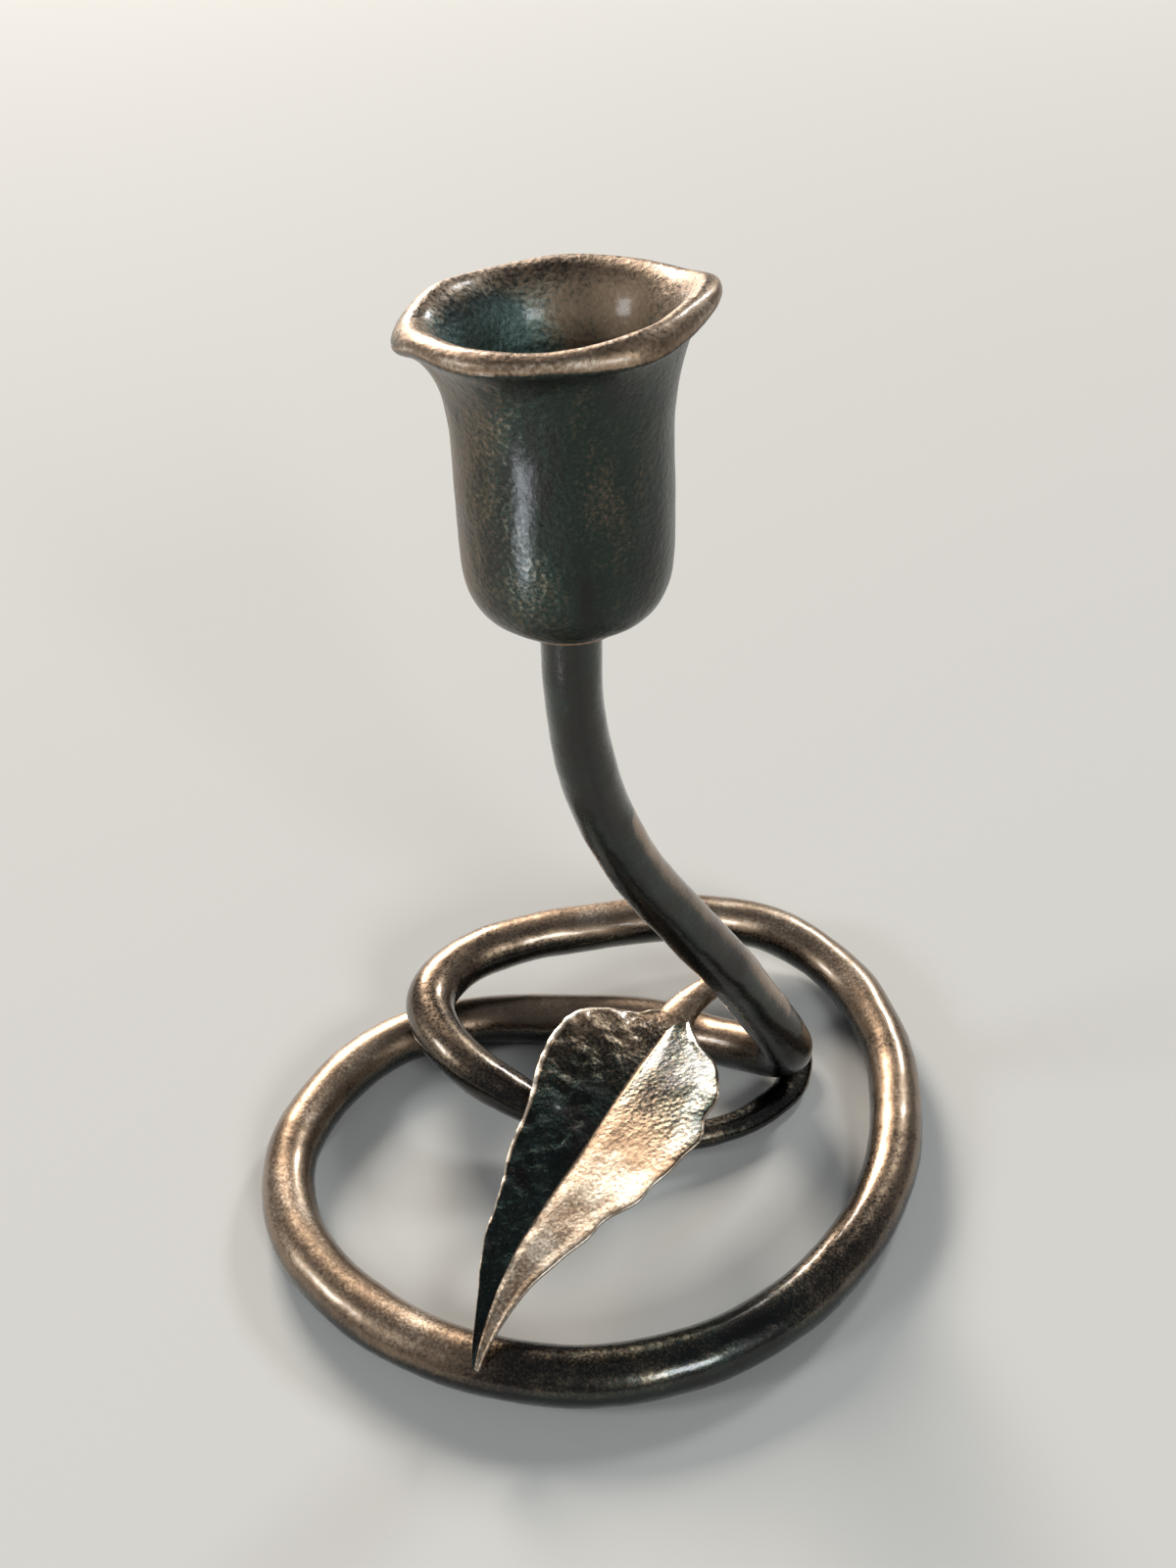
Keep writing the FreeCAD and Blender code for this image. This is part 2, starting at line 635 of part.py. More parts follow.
def blade_section(shares):
    along, left, right, middle, middle_rise, left_rise, right_rise = shares
    half = size("leaf_half_width")
    fold = size("leaf_fold_rise")
    origin = leaf_base + blade_way * (along * size("leaf_length"))

    def place(across, rise):
        return origin + blade_side * (across * half) + blade_up * (rise * fold)

    narrow = min(1.0, (left + right) / BLADE_THIN_BELOW_SHARE)
    rib = blade_up * (size("leaf_rib_thickness") * (1 + narrow) / 4)
    rim = blade_up * (size("leaf_edge_thickness") * (1 + narrow) / 4)
    vein = place(middle, middle_rise)
    halves = []
    for across, rise in ((left, left_rise), (-right, right_rise)):
        edge = place(across, middle_rise + rise)
        cupped = place((across + middle) / 2, middle_rise + rise * BLADE_CUP_SHARE)
        halves.append((edge, cupped))
    (left_edge, left_cup), (right_edge, right_cup) = halves
    flank = (rib + rim) / 2
    curves = []
    for start, through, end in ((left_edge + rim, left_cup + flank, vein + rib),
                                (vein + rib, right_cup + flank, right_edge + rim),
                                (right_edge - rim, right_cup - flank, vein - rib),
                                (vein - rib, left_cup - flank, left_edge - rim)):
        curve = Part.BSplineCurve()
        curve.interpolate([start, through, end])
        curves.append(curve.toShape())
    right_rim = Part.LineSegment(right_edge + rim, right_edge - rim).toShape()
    left_rim = Part.LineSegment(left_edge - rim, left_edge + rim).toShape()
    return Part.Wire([curves[0], curves[1], right_rim, curves[2], curves[3], left_rim])


blade = add_feature("Blade", Part.makeLoft([blade_section(shares) for shares in BLADE_SHARES], True, False))
leaf_stalk = add_feature("Stalk", tapered_bar(stalk_edges, [
    (stalk, stalk), (size("leaf_root_width"), size("leaf_rib_thickness")),
], 0, 0))
leaf = boolean("Part::Fuse", "leaf", leaf_stalk, blade)

# Places: the origin is on the table, under the middle of the whole piece
whole = FreeCAD.BoundBox()
for shape in (spiral_bar.Shape, leaf.Shape):
    whole.add(shape.optimalBoundingBox(False))
middle = V(-whole.Center.x, -whole.Center.y, 0)
NODES = {
    "spiral_bar": (spiral_bar, middle),
    "leaf": (leaf, middle),
    "seat_washer": (seat_washer, middle + stem_axis + V(0, 0, size("stem_height"))),
    "candle_cup": (candle_cup, middle + stem_axis + V(0, 0, CUP_SEAT)),
}
for label, (item, place) in NODES.items():
    item.Label = label
    item.Placement = FreeCAD.Placement(place, FreeCAD.Rotation())
doc.recompute()

for item in doc.Objects:
    if "Invalid" in item.State or "Error" in item.State:
        raise ValueError("failed object " + item.Name)
for label, (item, place) in NODES.items():
    shape = item.Shape
    if shape.isNull() or not shape.isValid() or len(shape.Solids) != 1:
        raise ValueError("bad shape " + label)
for label, (item, place) in NODES.items():
    item.Shape.exportStep("parts/" + label + ".step")
    box = item.Shape.optimalBoundingBox(False)
    print(label, "volume", round(item.Shape.Volume), "faces", len(item.Shape.Faces), "box",
          [round(value, 2) for value in (box.XMin, box.YMin, box.ZMin, box.XMax, box.YMax, box.ZMax)])
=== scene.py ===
import json
import math

import bmesh
import bpy
from mathutils import Matrix, Vector, noise


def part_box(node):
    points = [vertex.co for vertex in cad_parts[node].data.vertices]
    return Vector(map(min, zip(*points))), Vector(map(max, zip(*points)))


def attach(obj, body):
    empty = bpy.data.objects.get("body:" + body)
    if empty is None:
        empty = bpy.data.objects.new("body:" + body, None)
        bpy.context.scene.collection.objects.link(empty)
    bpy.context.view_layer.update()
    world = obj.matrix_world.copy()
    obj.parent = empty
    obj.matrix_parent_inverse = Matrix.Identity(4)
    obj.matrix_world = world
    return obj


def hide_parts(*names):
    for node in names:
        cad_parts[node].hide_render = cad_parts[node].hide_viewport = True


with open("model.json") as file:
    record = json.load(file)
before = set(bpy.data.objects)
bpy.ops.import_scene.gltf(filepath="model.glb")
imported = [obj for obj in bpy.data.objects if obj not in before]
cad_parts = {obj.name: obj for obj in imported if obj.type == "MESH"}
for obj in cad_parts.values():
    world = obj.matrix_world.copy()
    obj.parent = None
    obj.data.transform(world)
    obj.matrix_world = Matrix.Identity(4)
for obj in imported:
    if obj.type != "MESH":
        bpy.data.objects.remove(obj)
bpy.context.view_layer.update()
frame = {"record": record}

bl_info = {
    "name": "Spiral candle holder",
    "version": (1, 0, 0),
    "blender": (4, 5, 0),
    "location": "3D View > Sidebar > Candle holder",
    "description": "Forged candle holder: coiled bar, bell cup with a waved lip, washer and leaf",
    "category": "Add Mesh",
}

MM = 0.001

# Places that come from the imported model
SOCKET = [mount for mount in frame["record"]["mounts"] if mount["name"] == "candle_socket"][0]
CUP_AXIS = Vector((SOCKET["pos_m"][0], SOCKET["pos_m"][1], 0.0))
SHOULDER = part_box("seat_washer")[0][2]
CUP_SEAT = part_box("candle_cup")[0][2]

# Route of the bar, as the part's source gives it: across and depth as shares of the ring radius
STEM_SHARES = [
    (-0.025, 0.071, 1.000),
    (-0.023, 0.072, 0.860),
    (0.011, 0.086, 0.742),
    (0.114, 0.122, 0.590),
    (0.268, 0.175, 0.449),
    (0.450, 0.234, 0.294),
]
FOOT_CORNER_SHARES = (0.661, 0.305)
COIL_SHARES = [
    (0.400, 0.475, 0.02),
    (0.180, 0.575, 0.00),
    (-0.140, 0.612, 0.00),
    (-0.440, 0.615, 0.00),
    (-0.700, 0.540, 0.00),
    (-0.905, 0.335, 0.00),
    (-1.012, 0.030, 0.00),
    (-0.950, -0.250, 0.00),
    (-0.745, -0.500, 0.00),
    (-0.420, -0.690, 0.00),
    (-0.050, -0.757, 0.00),
    (0.330, -0.680, 0.00),
    (0.660, -0.455, 0.00),
    (0.875, -0.160, 0.00),
    (0.972, 0.160, 0.00),
    (0.975, 0.470, 0.02),
    (0.880, 0.745, 0.12),
    (0.660, 0.935, 0.38),
    (0.350, 0.965, 0.68),
    (0.010, 0.895, 0.90),
    (-0.270, 0.820, 0.99),
    (-0.480, 0.705, 1.00),
]
# Drawn-out part: across, depth, rise, taper, flattening
TENDRIL_SHARES = [
    (-0.570, 0.540, 1.00, 0.04, 0.0),
    (-0.535, 0.400, 0.98, 0.12, 0.0),
    (-0.430, 0.265, 0.87, 0.22, 0.0),
    (-0.270, 0.170, 0.58, 0.38, 0.0),
    (-0.060, 0.100, 0.22, 0.66, 0.0),
    (0.160, 0.078, -0.06, 0.93, 0.0),
    (0.370, 0.112, -0.19, 1.00, 0.15),
    (0.545, 0.205, -0.235, 1.00, 0.85),
    (0.650, 0.310, -0.235, 1.00, 1.0),
    (0.682, 0.420, -0.13, 1.00, 0.55),
    (0.645, 0.520, 0.22, 1.00, 0.1),
    (0.570, 0.567, 0.72, 1.08, 0.0),
    (0.485, 0.548, 1.18, 1.14, 0.0),
    (0.400, 0.460, 1.56, 1.15, 0.0),
]
LEAF_BASE_SHARES = (0.255, 0.321, 1.51)
LEAF_HEADING_DEGREES = 240.6
LEAF_DIP_DEGREES = 7.5
# Blade: share of its length, then left edge, right edge and midrib as shares of the half width,
# rise of the midrib, left edge and right edge as shares of the fold rise
BLADE_SHARES = [
    (-0.02, 0.13, 0.13, 0.00, 0.00, 0.05, 0.05),
    (0.03, 0.38, 0.26, 0.00, 0.05, 0.25, 0.25),
    (0.07, 0.66, 0.46, 0.00, 0.10, 0.60, 0.50),
    (0.12, 0.93, 0.74, 0.02, 0.15, 1.00, 0.80),
    (0.20, 1.05, 0.94, 0.05, 0.25, 1.00, 1.00),
    (0.31, 0.98, 1.01, 0.09, 0.30, 0.95, 1.05),
    (0.42, 0.87, 0.93, 0.12, 0.30, 0.90, 1.00),
    (0.52, 0.78, 0.72, 0.16, 0.25, 0.85, 0.80),
    (0.62, 0.68, 0.46, 0.21, 0.15, 0.80, 0.55),
    (0.72, 0.57, 0.22, 0.24, 0.05, 0.70, 0.30),
    (0.81, 0.44, 0.06, 0.22, -0.02, 0.55, 0.15),
    (0.89, 0.29, 0.01, 0.16, -0.05, 0.35, 0.10),
    (0.96, 0.14, 0.01, 0.08, -0.03, 0.15, 0.05),
    (1.00, 0.05, 0.03, 0.01, 0.00, 0.02, 0.02),
]
# Lip, every 30 degrees round the cup from +X: reach and lift beyond the mean, in millimetres,
# and how far the outermost edge is turned down
LIP_LOBES = [
    (0.3, 1.9, 0.3),
    (0.4, -0.4, 0.0),
    (0.4, -1.1, 0.0),
    (0.3, -1.2, 0.0),
    (0.2, -1.9, 0.0),
    (-0.5, -1.2, 0.2),
    (0.7, -2.5, 0.7),
    (-0.2, -0.9, 0.0),
    (0.4, 0.1, 0.5),
    (-0.4, 0.2, 0.2),
    (0.5, 2.0, 2.0),
    (-0.6, 2.2, 1.6),
]
# Outline of the cup in section, radius and height above its seat in millimetres
CUP_OUTSIDE = [
    (3.1, 0.0), (7.6, 0.0), (9.9, 0.55), (12.0, 2.1), (13.5, 4.7), (14.15, 7.8), (14.3, 12.0),
    (14.2, 19.0), (14.1, 26.0), (14.35, 30.0), (14.9, 33.4), (15.7, 36.2), (16.8, 38.4), (18.0, 39.7),
]
CUP_EDGE = [(18.9, 40.3), (19.4, 41.2), (19.2, 42.1)]
CUP_INSIDE = [
    (18.5, 42.6), (17.3, 42.8), (15.8, 42.1), (14.4, 40.6), (13.2, 38.6), (12.2, 36.2), (11.6, 33.5),
    (11.5, 31.0), (11.5, 20.0), (11.5, 7.5), (10.9, 5.2), (9.4, 3.5), (7.4, 3.0), (3.1, 3.0),
]
# Facets: round each turned or swept form, along its curves, and along and across the blade.
# Then how often the bar's route is smoothed
BAR_SIDES = 36
STALK_SIDES = 28
HEAD_SIDES = 48
WASHER_SIDES = 120
FOOT_BEND_PARTS = 8
HEAD_PARTS = 6
WASHER_EDGE_PARTS = 9
CUP_OUTLINE_PARTS = 4
LIP_LOBE_PARTS = 10
BLADE_ROW_PARTS = 12
BLADE_GRID = (140, 56)
SMOOTHING_PASSES = 3
# Radii and heights of the cup, the rivet head and the washer, in millimetres. The tenon's root is
# how far it starts below the stem's shoulder
BORE_RADIUS = 11.5
NECK_RADIUS = 14.0
HOLE_RADIUS = 3.1
LIP_RISE = 9.0
HEAD_HEIGHT = 2.0
WASHER_EDGE_ROUND = 0.35
TENON_ROOT = 1.0
# How far apart the hammer dents are, in millimetres
BAR_DENT = 9.0
CUP_DENT = 7.0
LEAF_DENTS = (5.0, 2.4)
# The finer unevenness on the dents: its size as a share of theirs, and where its pattern starts
FINE_DENT_SHARE = 0.35
FINE_DENT_START = Vector((7.1, 3.3, 5.7))
# Waves of the blade's right edge: radians over the blade's length, strength and start. Their reach
# is a share of the half width and their rise a share of the fold. The left edge has one small wave
RIGHT_EDGE_WAVES = [(38.0, 0.6, 0.6), (61.0, 0.4, 0.0)]
RIGHT_EDGE_REACH = 0.045
RIGHT_EDGE_RISE = 0.06
LEFT_EDGE_WAVE = 27.0
LEFT_EDGE_REACH = 0.018
# Groove of the fold and the step along the stalk, in millimetres
GROOVE_DEPTH = 0.35
STALK_STEP = 0.6

# Wear: 0 and less is bare oxide, 1 is brushed, and more is rubbed bright.
# Along the bar: share of its length from the stem's top, then the wear there; the dip from 0.47 to 0.56 is
# painted shade on the ring's front right
BAR_WEAR_AND_SHADE = [
    (0.00, -0.10), (0.12, -0.05), (0.155, 0.20), (0.20, 0.78), (0.27, 0.82), (0.44, 0.90), (0.47, 0.30),
    (0.52, 0.10), (0.56, 0.50), (0.61, 0.86), (0.74, 0.84), (0.80, 0.70), (0.86, 0.40), (0.90, 0.22),
    (1.00, 0.30),
]
# Painted highlight line along the stem's right side: its heights and its reach round the foot's corner, in
# millimetres, then its strength
STEM_HIGHLIGHT_LOW = 26.0
STEM_HIGHLIGHT_HIGH = 80.0
FOOT_HIGHLIGHT_REACH = 12.0
STEM_HIGHLIGHT_LEVEL = 0.9
HEAD_WEAR = 0.5
CUP_OUTSIDE_WEAR = 0.07
CUP_LIP_WEAR = 0.66
WASHER_WEAR = 0.95
# The leaf's oxide level also paints its left half as shaded, and its rim level paints the edges as bright
# highlights
LEAF_OXIDE_AND_SHADE_WEAR = 0.06
LEAF_FOLD_WEAR = 0.9
LEAF_RIM_WEAR_AND_HIGHLIGHT = 1.3
LEAF_UNDER_WEAR = 0.3
STALK_WEAR = 0.9
# Heights in the cup, in millimetres: where the funnel's brushing starts, how much deeper it starts on the
# brushed side, where it is also a painted highlight, and where the rubbed lip starts, each with the height
# over which it sets in
FUNNEL_START = 35.0
BRUSHED_AND_LIT_DEEPER = 12.0
FUNNEL_FADE = 7.0
LIP_START = 37.0
LIP_FADE = 5.0
# Ways from the cup's axis: to the flank painted browner as a sheen of light, and to the side where the brush
# went deeper and a painted highlight lies inside
PAINTED_SHEEN_FLANK = Vector((-0.97, -0.26, 0.0))
BRUSHED_AND_LIT_SIDE = Vector((0.62, 0.78, 0.0))

# Lamps: name, place and width in metres, power in watts, colour. The snoot, the soft room and the
# floor follow, with the snoot's angle in degrees and lengths in metres
WARM_LIGHT = (1.0, 0.95, 0.89)
COOL_LIGHT = (0.88, 0.95, 1.0)
LAMPS = [
    ("Key softbox", (-1.96, 5.60, 2.94), 2.10, 540.0, WARM_LIGHT),
    ("Front fill", (0.75, -1.50, 1.00), 0.50, 16.0, COOL_LIGHT),
    ("Left softbox", (-1.20, -0.25, 0.70), 0.30, 5.0, COOL_LIGHT),
    ("Back glint", (1.60, 2.20, 1.90), 0.50, 36.0, COOL_LIGHT),
]
LAMP_AIM = Vector((0.0, 0.0, 0.06))
SNOOT_PLACE = (-0.17, -0.18, 0.01)
SNOOT_AIM = CUP_AXIS + Vector((0.0, 0.0, 0.14))
SNOOT_POWER = 2.2
SNOOT_ANGLE = 22.0
SNOOT_RADIUS = 0.045
SNOOT_COLOUR = (0.86, 0.93, 1.0)
ROOM_COLOUR = (0.80, 0.88, 1.0, 1.0)
ROOM_STRENGTH = 0.16
FLOOR_HALF_WIDTH = 4.0
# Camera: focal length as a share of the picture's height, tilt in degrees and place in millimetres
LENS_SHARE = 1530 / 1600
SENSOR_WIDTH = 36.0
CAMERA_PITCH = 38.0
CAMERA_ROLL = -2.4
CAMERA_STAND = (0.0, -171.4, 223.7)


class BarSettings(bpy.types.PropertyGroup):
    bar_diameter: bpy.props.FloatProperty(
        name="Bar", description="Diameter of the round bar", default=9.6 * MM, unit="LENGTH")
    stem_top_diameter: bpy.props.FloatProperty(
        name="Stem top", description="Diameter of the stem under the cup", default=8.6 * MM, unit="LENGTH")
    tendril_diameter: bpy.props.FloatProperty(
        name="Tendril", description="Diameter of the drawn-out end", default=5.0 * MM, unit="LENGTH")
    tendril_flat_width: bpy.props.FloatProperty(
        name="Flat width", description="Tendril under the foot, across", default=6.2 * MM, unit="LENGTH")
    tendril_flat_height: bpy.props.FloatProperty(
        name="Flat height", description="Tendril under the foot, upwards", default=3.8 * MM, unit="LENGTH")
    stalk_diameter: bpy.props.FloatProperty(
        name="Stalk", description="Stalk of the leaf", default=4.2 * MM, unit="LENGTH")
    ring_radius: bpy.props.FloatProperty(
        name="Ring radius", description="Middle of the bar from the middle of the ring",
        default=56.0 * MM, unit="LENGTH")
    crossing_gap: bpy.props.FloatProperty(
        name="Crossing gap", description="Daylight where the loop crosses the ring",
        default=1.0 * MM, unit="LENGTH")
    foot_gap: bpy.props.FloatProperty(
        name="Foot gap", description="Daylight between tendril and foot", default=1.0 * MM, unit="LENGTH")
    foot_bend_radius: bpy.props.FloatProperty(
        name="Foot bend", description="Bend of the foot, middle of the bar", default=6.6 * MM, unit="LENGTH")
    ground_flat_depth: bpy.props.FloatProperty(
        name="Ground flats", description="Depth of the flats under the ring",
        default=0.35 * MM, unit="LENGTH")
    tenon_diameter: bpy.props.FloatProperty(
        name="Tenon", description="Tenon that holds the cup", default=6.0 * MM, unit="LENGTH")
    head_diameter: bpy.props.FloatProperty(
        name="Rivet head", description="Peened head inside the cup", default=10.0 * MM, unit="LENGTH")
    hammering: bpy.props.FloatProperty(
        name="Hammering", description="Depth of the hammered facets", default=0.24 * MM, unit="LENGTH")
    step: bpy.props.FloatProperty(
        name="Step", description="Length of one facet along the bar", default=0.9 * MM, unit="LENGTH")


class CupSettings(bpy.types.PropertyGroup):
    turned_steps: bpy.props.IntProperty(
        name="Steps", description="Facets round the cup", default=240, min=48)
    lip_start: bpy.props.FloatProperty(
        name="Lip start", description="Height above the seat at which the lip starts to flare",
        default=31.0 * MM, unit="LENGTH")
    lip_scale: bpy.props.FloatProperty(
        name="Waves", description="How strongly the lip waves", default=1.0, subtype="FACTOR")
    hammering: bpy.props.FloatProperty(
        name="Hammering", description="Depth of the hammered facets", default=0.16 * MM, unit="LENGTH")


class LeafSettings(bpy.types.PropertyGroup):
    length: bpy.props.FloatProperty(
        name="Length", description="Blade, base to tip", default=72.5 * MM, unit="LENGTH")
    half_width: bpy.props.FloatProperty(
        name="Half width", description="Midrib to edge", default=16.0 * MM, unit="LENGTH")
    fold_rise: bpy.props.FloatProperty(
        name="Fold", description="Rise of the edges above the midrib", default=4.6 * MM, unit="LENGTH")
    rib_thickness: bpy.props.FloatProperty(
        name="Rib", description="Thickness along the midrib", default=2.2 * MM, unit="LENGTH")
    edge_thickness: bpy.props.FloatProperty(
        name="Edge", description="Thickness along the edges", default=0.9 * MM, unit="LENGTH")
    hammering: bpy.props.FloatProperty(
        name="Hammering", description="Depth of the dents", default=0.52 * MM, unit="LENGTH")


class FinishSettings(bpy.types.PropertyGroup):
    oxide: bpy.props.StringProperty(
        name="Oxide", description="Dark forge oxide, sRGB hex", default="#211e1b")
    oxide_green: bpy.props.StringProperty(
        name="Cool oxide", description="Cooler oxide patches, sRGB hex", default="#1f2a25")
    # The scale colour is also a painted reflection of cool light inside the cup
    scale: bpy.props.StringProperty(
        name="Scale", description="Grey-green forge scale inside the cup, sRGB hex", default="#6b7f78")
    # Burnish and bright also colour the painted highlights and lit sides that the wear_and_light attribute
    # carries
    burnish: bpy.props.StringProperty(
        name="Burnish", description="Wire-brushed bronze sheen, sRGB hex", default="#957c64")
    bright: bpy.props.StringProperty(
        name="Bright", description="Rubbed edges, sRGB hex", default="#ddcfbc")
    floor: bpy.props.StringProperty(
        name="Floor", description="Plain floor, sRGB hex", default="#c9c5be")


def clamped(value):
    return min(1.0, max(0.0, value))


def eased(value):
    """Smooth step from 0 to 1."""
    value = clamped(value)
    return value * value * (3 - 2 * value)


def between(start, end, share):
    return start + (end - start) * share


def linear(hex_colour):
    """Linear RGBA of an sRGB hex colour."""
    values = [int(hex_colour[start:start + 2], 16) / 255 for start in (1, 3, 5)]
    return [v / 12.92 if v <= 0.04045 else ((v + 0.055) / 1.055) ** 2.4 for v in values] + [1.0]


def node(tree, kind, settings, inputs):
    """Adds a node. An input given as a socket is linked, any other is set."""
    made = tree.nodes.new(kind)
    for name, value in settings.items():
        setattr(made, name, value)
    for name, value in inputs.items():
        if isinstance(value, bpy.types.NodeSocket):
            tree.links.new(value, made.inputs[name])
        else:
            made.inputs[name].default_value = value
    return made


def bare_material(name):
    material = bpy.data.materials.new(name)
    material.use_nodes = True
    material.node_tree.nodes.clear()
    return material


def forged_steel(name, finish, blotch_mm, grit_mm, pit_mm, roughness, relief, wax,
                 streak_stretch=1.0, speckle=1.0, coolness=0.0):
    """Hot-forged mild steel, oxide left on, wire brushed and waxed. The oxide gives the eye a
    near-black, slightly green ground, the brush leaves a soft bronze sheen on the high places, and
    the wax adds small sharper lights. The wear_and_light attribute also carries painted highlights and
    painted shade, shown in the same colours."""
    material = bare_material(name)
    tree = material.node_tree
    where = node(tree, "ShaderNodeTexCoord", {}, {}).outputs["Object"]
    wear_and_light = node(tree, "ShaderNodeAttribute", {"attribute_name": "wear_and_light"}, {}).outputs["Fac"]
    scale_and_reflection_mask = node(tree, "ShaderNodeAttribute", {"attribute_name": "scale"}, {}).outputs["Fac"]
    # On the cup the blotches are drawn out upright into streaks, painted reflections of light bands
    drawn = node(tree, "ShaderNodeMapping", {}, {"Vector": where, "Scale": (1.0, 1.0, 1 / streak_stretch)})
    blotch = node(tree, "ShaderNodeTexNoise", {}, {
        "Vector": drawn.outputs[0], "Scale": 1 / (blotch_mm * MM), "Detail": 6.0, "Roughness": 0.62})
    grit = node(tree, "ShaderNodeTexNoise", {}, {
        "Vector": where, "Scale": 1 / (grit_mm * MM), "Detail": 4.0, "Roughness": 0.7})
    pits = node(tree, "ShaderNodeTexVoronoi", {"feature": "SMOOTH_F1"}, {
        "Vector": where, "Scale": 1 / (pit_mm * MM), "Smoothness": 0.6})
    # Brushed places: where the piece is worn and where painted highlights lie, broken up by blotches and
    # grit; low levels also carry painted shade
    spread = node(tree, "ShaderNodeMath", {"operation": "MULTIPLY_ADD"}, {
        0: blotch.outputs["Fac"], 1: 1.1, 2: -0.55})
    speck = node(tree, "ShaderNodeMath", {"operation": "MULTIPLY_ADD"}, {
        0: grit.outputs["Fac"], 1: speckle, 2: -speckle / 2})
    broken = node(tree, "ShaderNodeMath", {"operation": "ADD"}, {
        0: spread.outputs[0], 1: speck.outputs[0]})
    level = node(tree, "ShaderNodeMath", {"operation": "ADD"}, {0: broken.outputs[0], 1: wear_and_light})
    brushed = node(tree, "ShaderNodeMapRange", {"interpolation_type": "SMOOTHSTEP"}, {
        "Value": level.outputs[0], "From Min": 0.10, "From Max": 0.95})
    # Rubbed bright, which here also shows the painted highlights
    rubbed = node(tree, "ShaderNodeMapRange", {"interpolation_type": "SMOOTHSTEP"}, {
        "Value": level.outputs[0], "From Min": 0.85, "From Max": 1.45})
    patch = node(tree, "ShaderNodeMapRange", {"interpolation_type": "SMOOTHSTEP"}, {
        "Value": blotch.outputs["Fac"], "From Min": 0.42 - coolness, "From Max": 0.60 - coolness})
    ground = node(tree, "ShaderNodeMix", {"data_type": "RGBA"}, {
        0: patch.outputs[0], 6: linear(finish.oxide), 7: linear(finish.oxide_green)})
    # Loose forge scale, grainy and paler, where no brush reaches; inside the cup its pale grey-green is also
    # a painted reflection of cool light
    grain = node(tree, "ShaderNodeMapRange", {}, {
        "Value": grit.outputs["Fac"], "From Min": 0.35, "From Max": 0.65, "To Min": 0.45, "To Max": 1.0})
    loose = node(tree, "ShaderNodeMath", {"operation": "MULTIPLY"}, {0: scale_and_reflection_mask, 1: grain.outputs[0]})
    oxides = node(tree, "ShaderNodeMix", {"data_type": "RGBA"}, {
        0: loose.outputs[0], 6: ground.outputs[2], 7: linear(finish.scale)})
    bronze = node(tree, "ShaderNodeMix", {"data_type": "RGBA"}, {
        0: brushed.outputs[0], 6: oxides.outputs[2], 7: linear(finish.burnish)})
    colour = node(tree, "ShaderNodeMix", {"data_type": "RGBA"}, {
        0: rubbed.outputs[0], 6: bronze.outputs[2], 7: linear(finish.bright)})
    # Waxed oxide is glossier than the brushed steel
    satin = node(tree, "ShaderNodeMapRange", {}, {
        "Value": grit.outputs["Fac"], "From Min": 0.3, "From Max": 0.7,
        "To Min": roughness - 0.07, "To Max": roughness + 0.10})
    gloss = node(tree, "ShaderNodeMath", {"operation": "MULTIPLY_ADD"}, {
        0: brushed.outputs[0], 1: 0.16, 2: satin.outputs[0]})
    polish = node(tree, "ShaderNodeMath", {"operation": "MULTIPLY_ADD"}, {
        0: scale_and_reflection_mask, 1: 0.20, 2: gloss.outputs[0]})
    pitted = node(tree, "ShaderNodeMath", {"operation": "MULTIPLY_ADD"}, {
        0: pits.outputs["Distance"], 1: 0.6, 2: grit.outputs["Fac"]})
    # Brushing flattens the pits, and the wax fills them
    smoothed = node(tree, "ShaderNodeMapRange", {}, {
        "Value": brushed.outputs[0], "To Min": 1.0, "To Max": 0.35})
    height = node(tree, "ShaderNodeMath", {"operation": "MULTIPLY"}, {
        0: pitted.outputs[0], 1: smoothed.outputs[0]})
    bump = node(tree, "ShaderNodeBump", {}, {
        "Height": height.outputs[0], "Strength": relief, "Distance": grit_mm * MM})
    waxed = node(tree, "ShaderNodeBump", {}, {
        "Height": height.outputs[0], "Strength": relief * 0.2, "Distance": grit_mm * MM})
    shader = node(tree, "ShaderNodeBsdfPrincipled", {}, {
        "Base Color": colour.outputs[2], "Metallic": 1.0, "Roughness": polish.outputs[0],
        "Normal": bump.outputs["Normal"], "Coat Normal": waxed.outputs["Normal"],
        "Coat Weight": wax, "Coat Roughness": 0.15})
    node(tree, "ShaderNodeOutputMaterial", {}, {"Surface": shader.outputs[0]})
    return material


def chain_ways(points, first, last):
    """Direction of the bar at each point: that of the circle through it and its neighbours."""
    ways = [first]
    for before, here, after in zip(points, points[1:], points[2:]):
        into = here - before
        out = after - here
        ways.append((into * (out.length / into.length) + out * (into.length / out.length)).normalized())
    return ways + [last]


def curved_run(points, ways, sizes, step):
    """Stations along a smooth curve through the points: place, width and height."""
    stations = []
    for number in range(len(points) - 1):
        start, end = points[number], points[number + 1]
        reach = (end - start).length
        count = max(2, round(reach / step))
        for part in range(count):
            t = part / count
            place = (start * (2 * t ** 3 - 3 * t ** 2 + 1) + end * (3 * t ** 2 - 2 * t ** 3)
                     + ways[number] * (reach * (t ** 3 - 2 * t ** 2 + t))
                     + ways[number + 1] * (reach * (t ** 3 - t ** 2)))
            width, height = [between(sizes[number][k], sizes[number + 1][k], t) for k in range(2)]
            stations.append((place, width, height))
    return stations


def relaxed(stations, passes):
    """Evens out the stations, so that a highlight runs along the bar without kinks."""
    for _ in range(passes):
        eased = [stations[0]]
        for before, here, after in zip(stations, stations[1:], stations[2:]):
            eased.append(tuple((before[k] + here[k] * 2 + after[k]) / 4 for k in range(3)))
        stations = eased + [stations[-1]]
    return stations


